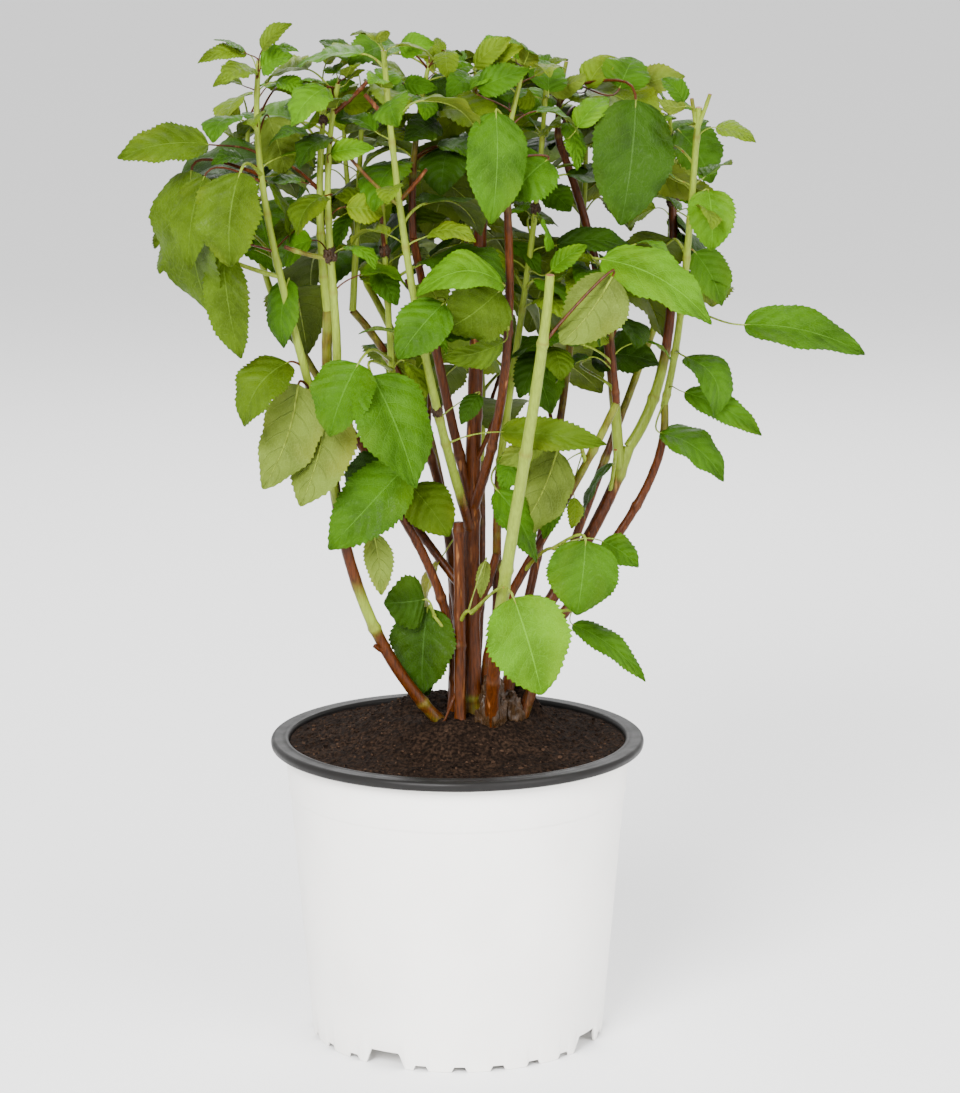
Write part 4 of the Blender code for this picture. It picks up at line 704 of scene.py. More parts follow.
def leaf_finish(name, colour, vein, raised, roughness):
    """A blade's face: side veins and midrib from its own map, net and cloudy tint between.

    Side vein lines are where the fraction of (climb times the number of veins) is a
    half; the climb is the way up the blade less a lean that grows towards the margin.
    """
    finish = Finish(name, colour, roughness, 0.06)
    place = finish.node("UVMap", uv_map="blade").outputs[0]
    parts = finish.node("SeparateXYZ", ("Vector", place))
    wobble = finish.maths("MULTIPLY_ADD", finish.noise(120.0, 2.0), 0.03, -0.015)
    across = finish.maths("ABSOLUTE", finish.maths("MULTIPLY_ADD", parts.outputs[0], 2.0, -1.0))
    lean = finish.maths("MULTIPLY", finish.maths("POWER", across, 1.35), -VEIN_LEAN)
    climb = finish.maths("ADD", finish.maths("ADD", parts.outputs[1], lean), wobble)
    phase = finish.maths("FRACT", finish.maths("MULTIPLY", climb, float(VEIN_PAIRS)))
    away = finish.maths("ABSOLUTE", finish.maths("SUBTRACT", phase, 0.5))
    width = 0.05 if raised else 0.032
    side = finish.ramp(away, 0.0, width, 1.0, 0.0)
    fade = finish.ramp(across, 0.35, 0.95, 0.85, 0.0)
    rib = finish.ramp(across, 0.008, 0.036, 1.0, 0.0)
    veins = finish.maths("MAXIMUM", finish.maths("MULTIPLY", side, fade), rib)
    net = finish.node("TexVoronoi", ("Vector", place), ("Scale", 24.0),
                      feature="DISTANCE_TO_EDGE").outputs["Distance"]
    mesh = finish.ramp(net, 0.0, 0.13, 1.0, 0.0)
    cloud = finish.ramp(finish.noise(34.0, 3.0), 0.36, 0.68)
    tint = finish.mix(cloud, colour, shade(colour, 0.52))
    warm = (colour[0] * 1.7, colour[1] * 1.35, colour[2])
    edge = finish.maths("MULTIPLY", finish.ramp(finish.noise(17.0, 2.0), 0.50, 0.66),
                        finish.ramp(across, 0.1, 0.9, 0.1, 0.6))
    tint = finish.mix(edge, tint, warm)
    tint = finish.mix(finish.maths("MULTIPLY", mesh, 0.26 if raised else 0.2), tint, vein)
    finish.use("Base Color",
               finish.mix(finish.maths("MULTIPLY", veins, 0.75 if raised else 0.62), tint, vein))
    bulge = finish.ramp(away, 0.0, 0.5, 0.0, 1.0)
    relief = finish.maths("MULTIPLY_ADD", mesh, -0.3, bulge)
    if raised:
        relief = finish.maths("MULTIPLY_ADD", veins, 1.3, finish.maths("MULTIPLY", relief, 0.4))
    else:
        relief = finish.maths("MULTIPLY_ADD", veins, -0.5, relief)
    finish.bump(relief, 0.0007, 0.9)
    return finish.material


# ---- settings ------------------------------------------------------------------
def colour_setting(name, description, value):
    """A colour that a user may change."""
    return FloatVectorProperty(name=name, description=description, subtype="COLOR",
                               default=value, min=0.0, max=1.0)


def size_setting(name, description, value):
    """A length that a user may change."""
    return FloatProperty(name=name, description=description, default=value, min=0.0,
                         unit="LENGTH")


class PotSettings(bpy.types.PropertyGroup):
    wall: colour_setting("Wall", "Colour of the pot's moulded wall", (0.90, 0.88, 0.84))
    lip: colour_setting("Lip", "Colour of the rolled lip", (0.0105, 0.0098, 0.0094))
    inside: colour_setting("Inside", "Colour of the wall inside", (0.016, 0.015, 0.015))
    rounding: size_setting("Rounding", "How far corners are rounded", 0.0006)


class SoilSettings(bpy.types.PropertyGroup):
    dark: colour_setting("Soil", "Colour of the damp soil", (0.0042, 0.0024, 0.0016))
    pale: colour_setting("Fibres", "Colour of the lighter fibres", (0.032, 0.018, 0.011))
    lumps: size_setting("Lumps", "Height of the lumps in the soil", 0.0014)
    crumbs: IntProperty(name="Crumbs", description="How many loose crumbs lie on the soil",
                        default=2600, min=0)


class StemSettings(bpy.types.PropertyGroup):
    bark: colour_setting("Bark", "Colour of the young bark", (0.058, 0.0135, 0.001))
    paper: colour_setting("Paper", "Colour of the papery bark at the foot", (0.036, 0.018, 0.007))
    flake: colour_setting("Flakes", "Colour of flaking bark", (0.185, 0.070, 0.020))
    green: colour_setting("Green", "Colour of the green stems", (0.165, 0.222, 0.018))
    relief: size_setting("Relief", "Depth of the furrows in the bark", 0.00022)


class LeafSettings(bpy.types.PropertyGroup):
    thickness: size_setting("Thickness", "Thickness of a blade", 0.0004)
    tooth: size_setting("Tooth", "How far a tooth of the margin stands out", 0.0019)
    quilt: size_setting("Quilting", "Rise of a blade between its side veins", 0.0006)
    wave: FloatProperty(name="Wave", description="Wave of the margin as a share of its width",
                        default=0.09, min=0.0)


for letter, (title, top, lower) in TINTS.items():
    LeafSettings.__annotations__["top_" + letter] = colour_setting(
        title.capitalize() + " Top", f"Colour of a {title} leaf's upper side", top)
    LeafSettings.__annotations__["under_" + letter] = colour_setting(
        title.capitalize() + " Under", f"Colour of a {title} leaf's lower side", lower)


class StageSettings(bpy.types.PropertyGroup):
    floor: colour_setting("Floor", "Colour of the studio floor", (0.92, 0.92, 0.92))
    light: FloatProperty(name="Light", description="Strength of the main light", default=240.0,
                         min=0.0, unit="POWER")
    sky: FloatProperty(name="Sky", description="Strength of the light from all sides",
                       default=1.3, min=0.0)


# ---- pot, lip and soil ---------------------------------------------------------
def wall_radius(height):
    """Outside of the plain wall, a straight cone from foot to lip."""
    share = height / (POT_HEIGHT - RIM_HEIGHT)
    return WALL_FOOT_RADIUS + (WALL_TOP_RADIUS - WALL_FOOT_RADIUS) * share


def notches():
    """Each notch in the foot of the wall as (angle, half its width as an angle, height)."""
    step = 2 * math.pi / LARGE_NOTCHES
    cuts = []
    for i in range(LARGE_NOTCHES):
        turn = -math.pi / 2 + LARGE_NOTCH_TURN + i * step
        cuts.append((turn, LARGE_NOTCH[0] / 2 / WALL_FOOT_RADIUS, LARGE_NOTCH[1]))
        for k in range(SMALL_NOTCHES):
            between = turn + step * (k + 1) / (SMALL_NOTCHES + 1)
            cuts.append((between, SMALL_NOTCH[0] / 2 / WALL_FOOT_RADIUS, SMALL_NOTCH[1]))
    return np.array(cuts)


def foot_line(turns, cuts):
    """Height of the wall's foot at each angle: the ground, or the top of a notch.

    A notch is a flat top with sides that lean in, from 106% of its width on the
    ground to 70% at the top.
    """
    away = np.abs((turns[:, None] - cuts[:, 0] + math.pi) % (2 * math.pi) - math.pi)
    rise = np.clip((cuts[:, 1] * 1.06 - away) / (cuts[:, 1] * 0.36), 0, 1)
    return (rise * rise * (3 - 2 * rise) * cuts[:, 2]).max(axis=1)


def make_pot(look):
    """The pot: a profile turned about +Z, its foot lifted where a notch is."""
    cuts = notches()
    marks = [cuts[:, 0] + side * cuts[:, 1] * share
             for side in (-1, 1) for share in (0.70, 0.88, 1.06)]
    turns = np.concatenate([np.linspace(0, 2 * math.pi, 176, endpoint=False), *marks])
    turns = np.unique(np.round(turns % (2 * math.pi), 5))
    top = POT_HEIGHT - RIM_HEIGHT
    band = top - STACK_BAND
    channel = CHANNEL_HEIGHT + WALL
    profile = soften(np.array([
        (0.002, WALL),
        (FOOT_DISC_RADIUS, WALL),
        (FOOT_DISC_RADIUS + 0.003, channel),
        (wall_radius(channel) - WALL, channel),
        (wall_radius(top) - WALL, top),
        (wall_radius(top) + STACK_STEP, top),
        (wall_radius(band) + STACK_STEP, band),
        (wall_radius(band), band - STACK_STEP),
        (wall_radius(FOOT_BAND), FOOT_BAND),
        (WALL_FOOT_RADIUS, 0),
        (WALL_FOOT_RADIUS - WALL, 0),
        (wall_radius(CHANNEL_HEIGHT) - WALL, CHANNEL_HEIGHT),
        (FOOT_DISC_RADIUS + 0.005, CHANNEL_HEIGHT),
        (FOOT_DISC_RADIUS + 0.002, 0),
        (0.002, 0),
    ]), look.rounding, False)
    profile = np.repeat(profile[:, None], len(turns), axis=1)
    share = np.clip(1 - profile[..., 1] / FOOT_BAND, 0, 1) * (profile[..., 0] > FOOT_RING)
    inner = (profile[..., 0] < wall_radius(profile[..., 1]) - WALL / 2)
    low = foot_line(turns, cuts) * share
    low = np.where(inner, np.minimum(low, np.maximum(CHANNEL_HEIGHT - profile[..., 1], 0)), low)
    profile[..., 1] += low
    profile[..., 0] += low * (WALL_TOP_RADIUS - WALL_FOOT_RADIUS) / top
    poles = np.array([[(0, 0, WALL), (0, 0, 0)]])
    wall = pot_finish("pot_wall", look.wall, 0.38)
    inside = pot_finish("pot_inside", look.inside, 0.5)
    face = inner[:, 0] & (profile[:, 0, 1] > CHANNEL_HEIGHT + WALL / 2)
    inward = np.append(face, False)
    piece = skin("pot_body", lathe(profile, turns), poles, (wall, inside),
                 lambda body, row, place: inward[row] * 1).thing
    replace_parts(piece, "pot")


def make_rim(look):
    """The rolled lip: a rounded closed section turned about +Z, with a hollow under it."""
    turns = np.linspace(0, 2 * math.pi, 200, endpoint=False)
    seat = POT_HEIGHT - RIM_HEIGHT + GAP
    inner = WALL_TOP_RADIUS - WALL - 0.0004
    profile = soften(np.array([
        (inner, POT_HEIGHT - 0.0018),
        (inner + 0.0020, POT_HEIGHT),
        (inner + 0.0042, POT_HEIGHT - 0.0012),
        (RIM_RADIUS - 0.0050, POT_HEIGHT - 0.0010),
        (RIM_RADIUS - 0.0020, POT_HEIGHT - 0.0006),
        (RIM_RADIUS, POT_HEIGHT - 0.0030),
        (RIM_RADIUS - 0.0010, POT_HEIGHT - RIM_HEIGHT),
        (RIM_RADIUS - 0.0034, POT_HEIGHT - RIM_HEIGHT),
        (RIM_RADIUS - 0.0042, seat),
        (inner, seat),
    ]), look.rounding * 1.6, True)
    finish = pot_finish("rim_plastic_dark", look.lip, 0.40, 0.12)
    piece = skin("pot_lip", lathe(profile, turns), None, (finish,)).thing
    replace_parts(piece, "rim")


def mound(radius):
    """Height of the soil at a distance from the axis, without its lumps."""
    edge = wall_radius(SOIL_EDGE) - WALL - GAP
    shoulder = MOUND_RADIUS + (edge - MOUND_RADIUS) * 0.45
    heights = (SOIL_TOP, SOIL_TOP, SOIL_BRIM + 0.22 * (SOIL_TOP - SOIL_BRIM), SOIL_BRIM)
    return np.interp(radius, (0, MOUND_RADIUS, shoulder, edge), heights)


# Heaps of soil against the stems: x, y, reach and height, in metres.
HEAPS = [
    (-0.024, 0.034, 0.034, 0.0060), (0.044, 0.020, 0.015, 0.0200), (0.000, -0.028, 0.018, 0.0050),
    (0.030, 0.034, 0.020, 0.0070),
]


def soil_height(places, lumps):
    """The mound and its heaps, with lumps of three sizes, which die out at the rim."""
    radius = np.hypot(places[..., 0], places[..., 1])
    flat = places * np.array((1.0, 1.0, 0.0))
    heap = sum(high * np.exp(-((places[..., 0] - x) ** 2 + (places[..., 1] - y) ** 2) / wide ** 2)
               for x, y, wide, high in HEAPS)
    rough = (ripple(flat, 0.021) + 0.7 * ripple(flat + 0.4, 0.0083)
             + 0.45 * ripple(flat + 0.9, 0.0031))
    rough = rough * np.clip((SOIL_REACH - radius) / 0.012, 0.25, 1) * (1 + 90 * heap)
    return mound(radius) + heap + lumps * rough


def make_soil(look):
    """Soil: the mound's height over a polar grid, closed by its sides and floor in the pot."""
    turns = np.linspace(0, 2 * math.pi, 220, endpoint=False)
    edge = WALL_TOP_RADIUS - WALL - 0.0007
    radii = edge * np.linspace(0.012, 1, 74) ** 0.8
    top = lathe(np.stack([radii, np.zeros_like(radii)], -1), turns)
    top[..., 2] = soil_height(top, look.lumps)
    floor = CHANNEL_HEIGHT + WALL + GAP
    down = lathe(np.array([
        (wall_radius(floor) - WALL - GAP, floor),
        (FOOT_DISC_RADIUS + 0.0025, floor),
        (FOOT_DISC_RADIUS - 0.0008, WALL + GAP),
    ]), turns)
    rings = np.concatenate([top, down], axis=1)
    poles = np.array([[(0, 0, SOIL_TOP), (0, 0, WALL + GAP)]])
    finish = soil_finish("peat", look.dark, look.pale)
    piece = skin("soil_bed", rings, poles, (finish,)).thing
    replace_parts(piece, "soil")


def make_crumbs(look):
    """Loose crumbs: lopsided eight-sided grains half sunk in the soil, a few of them pale."""
    rng = np.random.default_rng(11)
    count = look.crumbs
    radius = CRUMB_REACH * np.sqrt(rng.uniform(0.002, 1, count))
    turn = rng.uniform(0, 2 * math.pi, count)
    centre = np.stack([radius * np.cos(turn), radius * np.sin(turn), np.zeros(count)], -1)
    centre[:, 2] = soil_height(centre, look.lumps)
    size = 0.0005 + 0.0011 * rng.random(count) ** 3
    stretch = rng.uniform(0.7, 1.5, (count, 3)) * (1, 1, 0.7)
    angle = np.linspace(0, 2 * math.pi, 5, endpoint=False)
    circle = np.stack([np.cos(angle), np.sin(angle), np.zeros(5)], -1)
    levels = np.array([(0.8, -0.4), (0.75, 0.45)])
    rings = circle * levels[:, 0, None, None] + np.array((0, 0, 1)) * levels[:, 1, None, None]
    rings = rings[None] * rng.uniform(0.75, 1.2, (count, 2, 5, 1))
    rings = centre[:, None, None] + rings * (size[:, None] * stretch)[:, None, None]
    reach = (size * stretch[:, 2])[:, None] * np.array((0, 0, 0.9))
    poles = np.stack([centre - reach, centre + reach], axis=1)
    finishes = (soil_finish("crumb_dark", look.dark, look.pale),
                soil_finish("crumb_brown", look.pale, shade(look.pale, 2)))
    pale = rng.random(count) < 0.16
    piece = skin("soil_crumbs", rings, poles, finishes,
                 lambda body, row, place: pale[body] * 1).thing


def make_lumps(name, lumps, finish):
    """Gnarled wood: tall balls pushed in and out by ripples, none deeper than just in the soil.

    A lump is its centre and its three half sizes, in millimetres.
    """
    rise = np.linspace(-1, 1, 46)[1:-1, None]
    turn = np.linspace(0, 2 * math.pi, 56, endpoint=False)
    ball = np.stack(np.broadcast_arrays(np.sqrt(1 - rise ** 2) * np.cos(turn),
                                        np.sqrt(1 - rise ** 2) * np.sin(turn), rise), -1)
    lumps = np.array(lumps) * MM
    centre = lumps[:, None, None, :3]
    size = lumps[:, None, None, 3:]
    odd = ball + centre * 60
    swell = 1 + 0.22 * ripple(odd, 1.3) + 0.16 * ripple(odd * (1, 1, 0.3), 0.45)
    swell = swell + 0.08 * ripple(odd * (1, 1, 0.25), 0.17)
    rings = centre + ball * swell[..., None] * size
    poles = (centre + size * np.array([(0, 0, -1), (0, 0, 1)]))[:, 0]
    for places in (rings, poles):
        places[..., 2] = np.maximum(places[..., 2], SOIL_TOP - 0.006)
    piece = skin(name, rings, poles, (finish,)).thing
    return piece


# ---- stems ---------------------------------------------------------------------
class Limb:
    """A stem worked out in metres: its curve and its taper."""

    def __init__(self, stem, limbs):
        self.stem = stem
        first, second = stem.root
        self.planted = first not in limbs
        if self.planted:
            self.foot = Vector((first * MM, second * MM, SOIL_TOP - PLANTED))
        else:
            self.foot = limbs[first].point(second)
        self.low = Vector(stem.low) * MM
        self.high = Vector(stem.high) * MM
        self.tip = Vector(stem.tip) * MM
        self.thick = stem.radii[0] * MM
        self.thin = stem.radii[1] * MM
        places = [self.point(i / 8) for i in range(9)]
        self.length = sum((b - a).length for a, b in zip(places, places[1:]))

    def point(self, share):
        """The place at a share of the way up."""
        return sweep(self.foot, self.low, self.high, self.tip, share)

    def radius(self, share):
        """Half the thickness there: an even taper, without flares and nodes."""
        return self.thick + (self.thin - self.thick) * share


def grow_limbs():
    """Every stem by its name, parents before what springs from them."""
    limbs = {}
    for stem in LIMBS + SHOOTS:
        limbs[stem.name] = Limb(stem, limbs)
    return limbs


def gather(things, *parts):
    """The named places or directions of many things, one array for each name."""
    return [np.array([list(getattr(thing, part)) for thing in things])[:, None] for part in parts]


def make_stems(name, limbs, leaves, materials, relief, greens):
    """Stems: tapered rounds with swollen nodes, furrows along them and flat cut ends.

    The radius is an even taper, plus a flare in the soil, a bell-shaped swelling at
    each node, and a ripple drawn out along the stem.
    """
    share = np.linspace(0, 1, STEM_STEPS)
    centres = sweep(*gather(limbs, "foot", "low", "high", "tip"), share[:, None])
    length, thick, thin, ground = (np.array([getattr(limb, part) for limb in limbs])[:, None]
                                   for part in ("length", "thick", "thin", "planted"))
    slim = np.array([0.78 if limb.stem.name.startswith("sprig_") else 1.0 for limb in limbs])
    radius = (thick + (thin - thick) * share) * slim[:, None]
    radius = radius * (1 + ground * 0.22 * np.maximum(0, 1 - share / 0.1) ** 2)
    rng = random.Random(4)
    knots = np.full((len(limbs), MOST_KNOTS), -1.0)
    for row, limb in zip(knots, limbs):
        places = sorted({round(leaf.share, 2) for leaf in leaves if leaf.stem == limb.stem.name})
        if not places:
            gap = rng.uniform(0.060, 0.095) / limb.length
            first = rng.uniform(0.3, 0.9) * gap
            places = [first + gap * i for i in range(MOST_KNOTS) if first + gap * i < LAST_NODE]
        apart = 0.017 / limb.length
        places = [p for i, p in enumerate(places) if i == 0 or p - places[i - 1] > apart]
        row[:len(places)] = places[:MOST_KNOTS]
    distance = (share[:, None] - knots[:, None]) * length[..., None]
    used = (knots >= 0)[:, None]
    knot = (np.exp(-(distance / 0.0026) ** 2) * used).max(axis=2)
    line = (np.exp(-((distance - 0.0012) / 0.0011) ** 2) * used).max(axis=2)
    radius = radius + knot * np.minimum(0.0009, radius * 0.22) * slim[:, None] ** 4
    rings = tubes(centres, np.repeat(radius[..., None], STEM_SIDES, axis=2))
    drawn = rings * np.array((1, 1, 0.16))
    furrow = ripple(drawn, 0.0021) * 0.6 + ripple(drawn + 3.1, 0.0048)
    marks = [greens.get(limb.stem.name, (0.8, 1.0)) for limb in limbs]
    green = np.array([np.interp(share, np.linspace(0, 1, len(row)), row) for row in marks])
    depth = relief * (1.15 - 0.8 * green)[..., None]
    rings = tubes(centres, radius[..., None] + furrow * depth)
    ends = centres[:, [0, -1]] + unit(centres[:, [0, -1]] - centres[:, [1, -2]]) * 0.0004
    piece = skin(name, rings, ends, materials,
                 lambda body, row, place: (row >= STEM_STEPS) * 1).thing
    for title, values in (("green", green + 0.15 * knot * (green > 0.05)), ("scar", line * 0.4)):
        round_each = np.repeat(values, STEM_SIDES, axis=1)
        paint(piece, title, np.concatenate([round_each, values[:, [0, -1]]], axis=1))
    names = [limb.stem.name for limb in limbs]
    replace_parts(piece, *[name for name in names if name in frame["nodes"]])


def twig_limbs(limbs):
    """The stubs as short, nearly straight limbs that sag by a twentieth of their length."""
    twigs = []
    for i, twig in enumerate(TWIGS):
        foot = limbs[twig.parent].point(twig.at)
        run = Vector(twig.tip) * MM - foot
        sag = Vector((0, 0, run.length * 0.05))
        places = [(foot + run * part / 3 - sag) / MM for part in (1, 2)]
        stem = Stem(f"twig_{i}", (twig.parent, twig.at), *places, twig.tip, twig.radii)
        twigs.append(Limb(stem, limbs))
    return twigs


# ---- leaves --------------------------------------------------------------------
class Blade:
    """One leaf's bones: petiole root, base, bow and tip of the blade, its upper side."""

    def __init__(self, stem, share, root, base, tip, width, turn, arch, tint):
        self.stem, self.share, self.tint = stem, share, tint
        self.root, self.base, self.tip = root, base, tip
        self.half = width / 2
        chord = tip - base
        self.length = chord.length
        along = chord.normalized()
        outward = base - CROWN_CENTRE
        outward.z = 0.0
        up = Vector((0, 0, 1)) + outward.normalized() * 0.35
        up = (up - along * up.dot(along)).normalized()
        self.up = Matrix.Rotation(math.radians(turn), 3, along) @ up
        self.bow = (base + tip) / 2 + self.up * (2 * arch * self.length)


def solid_corners(name):
    """The corners of a shoot's solid, ready to be asked which is nearest."""
    vertices = frame["nodes"][name].data.vertices
    tree = kdtree.KDTree(len(vertices))
    for vertex in vertices:
        tree.insert(vertex.co, vertex.index)
    tree.balance()
    return tree


class Foliage:
    """Deals out leaves by the shrub's rule, and keeps those that its solids carry."""

    def __init__(self, limbs):
        self.limbs = limbs
        self.leaves = []
        self.corners = {stem.name: solid_corners(stem.name) for stem in SHOOTS}

    def keep(self, leaf):
        """Keep a leaf where its shoot's solid ends in the same tip."""
        if self.corners[leaf.stem].find(leaf.tip)[2] > 0.00015:
            return False
        self.leaves.append(leaf)
        return True

    def watch_front(self):
        """Places on the listed leaves and the front shoots that are to stay in view."""
        places = [self.spots(leaf) for leaf in self.leaves]
        for name in FRONT_STEMS:
            limb = self.limbs[name]
            count = round(limb.length / 0.012)
            places.append([list(limb.point(0.06 + 0.94 * i / count)) for i in range(count)])
        self.watched = np.concatenate(places)
        x, z, radius = np.array(OPENINGS, dtype=float).T * MM
        near = OPENING_SHEET - FRONT_VIEW[1]
        self.openings = np.stack([x - FRONT_VIEW[0], z - FRONT_VIEW[2], radius], -1) / near

    def stands_before(self, leaf):
        """Whether a leaf is seen in an opening, or hides two of the watched places.

        Both are judged from the front view point: the first from places along the
        blade and its two halves, the second with the blade taken as an ellipse.
        """
        side = (leaf.tip - leaf.base).normalized().cross(leaf.up) * leaf.half
        line = [bend(leaf.base, leaf.bow, leaf.tip, share) for share in (0.15, 0.4, 0.65, 0.9)]
        places = np.array([list(p + side * k) for p in line for k in (-0.6, 0.0, 0.6)])
        steps = places - FRONT_VIEW
        seen = self.openings[:, None, :2] - steps[:, [0, 2]] / steps[:, 1:2]
        if (np.linalg.norm(seen, axis=2) < self.openings[:, 2:] * 0.85).any():
            return True
        middle = (leaf.base + leaf.tip) / 2
        steps = np.array([list(middle), list(leaf.tip), list(middle + side)]) - FRONT_VIEW
        flat = steps[:, [0, 2]] / steps[:, 1:2]
        axes = np.stack([flat[1] - flat[0], flat[2] - flat[0]], axis=1)
        if abs(np.linalg.det(axes)) < 1e-6:
            return False
        away = self.watched - FRONT_VIEW
        behind = away[away[:, 1] > steps[0, 1]]
        offsets = behind[:, [0, 2]] / behind[:, 1:2] - flat[0]
        inside = (np.linalg.solve(axes, offsets.T) ** 2).sum(axis=0) < 0.8
        return inside.sum() > 1

    def set_leaf(self, row):
        """A listed leaf: its petiole leaves the nearest place below its base.

        It is nudged back or forward as its solid was, and stays put where it was moved.
        """
        limb = self.limbs[row.stem]
        first = ROOT_CLEAR / limb.length
        shares = [first + (LAST_NODE - first) * i / 60 for i in range(61)]
        for nudge in NUDGES:
            shift = Vector((0, nudge * MM, 0))
            base = Vector(row.base) * MM + shift
            aim = base - Vector((0, 0, PETIOLE_RISE))
            share = row.at or min(shares, key=lambda s: (limb.point(s) - aim).length)
            tip = Vector(row.tip) * MM + shift
            leaf = Blade(row.stem, share, limb.point(share), base, tip, row.width * MM,
                         row.turn, row.arch, row.tint)
            if nudge == 0:
                still = leaf
            if self.keep(leaf):
                return
        self.leaves.append(still)

    def grow(self, name):
        """Opposite pairs of leaves up a shoot, each pair square to the last."""
        limb = self.limbs[name]
        if limb.stem.bare >= 1.0:
            return
        start = max(limb.stem.bare, ROOT_CLEAR / limb.length)
        rng = random.Random(limb.stem.seed)
        phase = rng.uniform(0, math.pi)
        count = max(2, round(limb.length * (1 - start) / NODE_SPACING))
        for i in range(count + 1):
            height = i / count
            share = start + (LAST_NODE - start) * height
            for half in (0, math.pi):
                turn = phase + i * math.pi / 2 + half + rng.uniform(-0.3, 0.3)
                size = rng.uniform(*LEAF_LENGTH) * (1.0 - 0.42 * height ** 3)
                droop = math.radians(rng.uniform(8, 62) * (1.0 - 0.55 * height))
                roll = rng.gauss(0, 16)
                arch = rng.uniform(0.08, 0.2)
                stalk = rng.uniform(0.014, 0.032)
                for twist, scale in TRIES:
                    leaf = self.level_leaf(name, share, turn + math.radians(twist), size * scale,
                                           droop, roll, arch, stalk * scale)
                    if self.keep(leaf):
                        if self.stands_before(leaf):
                            self.leaves.pop()
                        break

    def level_leaf(self, name, share, heading, size, droop, roll, arch, stalk):
        """A leaf on a level petiole, its blade drooping from there."""
        limb = self.limbs[name]
        flat = Vector((math.cos(heading), math.sin(heading), 0))
        root = limb.point(share)
        base = root + flat * (stalk + limb.radius(share)) + Vector((0, 0, stalk * 0.7))
        tip = base + flat * (size * math.cos(droop)) - Vector((0, 0, size * math.sin(droop)))
        # Leaves high in the crown take the bright and light tints and lower ones the middle, dark
        # and olive: painted light on the top of the crown and painted shade below it, over the
        # leaves' own tones.
        choice = "blmlbl" if tip.z > 0.62 else "mdodbm"
        tint = choice[len(self.leaves) % 6]
        return Blade(name, share, root, base, tip, size * LEAF_ASPECT, roll, arch, tint)

    def grow_young(self, box):
        """Small leaves unfolding at the tips and at the nodes below, clear of all others.

        The space between a young leaf and its neighbours is judged from points along
        their midribs and on their margins.
        """
        rng = random.Random(21)
        low, high = box
        grown = [self.spots(leaf) for leaf in self.leaves]
        for stem in SHOOTS:
            if stem.bare >= 1.0:
                continue
            phase = rng.uniform(0, math.pi)
            for k, share in enumerate((1.0, 0.985, 0.93, 0.85, 0.76, 0.66, 0.55, 0.45)):
                for half in (0, math.pi):
                    heading = phase + k * math.pi / 2 + half + rng.uniform(-0.4, 0.4)
                    size = rng.uniform(0.014, 0.022) + 0.0022 * k
                    droop = math.radians(rng.uniform(-50, 5) + 7 * k)
                    stalk = rng.uniform(0.004, 0.009) + 0.001 * k
                    leaf = self.level_leaf(stem.name, share, heading, size, droop,
                                           rng.gauss(0, 25), rng.uniform(0.1, 0.25), stalk)
                    spots = self.spots(leaf)
                    if any(not low[i] < p[i] < high[i] for p in spots for i in range(3)):
                        continue
                    near = min(np.linalg.norm(other - spots[:, None], axis=2).min()
                               for other in grown)
                    if near > 0.0042 and share > stem.bare * 0.5 and not self.stands_before(leaf):
                        leaf.tint = rng.choice("bmllb")
                        self.leaves.append(leaf)
                        grown.append(spots)

    def spots(self, leaf):
        """Places on a leaf: five along its midrib and one on each side."""
        side = (leaf.tip - leaf.base).normalized().cross(leaf.up) * leaf.half * 0.8
        middle = bend(leaf.base, leaf.bow, leaf.tip, 0.4)
        line = [bend(leaf.base, leaf.bow, leaf.tip, share) for share in (0, 0.25, 0.5, 0.75, 1)]
        return np.array([list(p) for p in line + [middle + side, middle - side]])


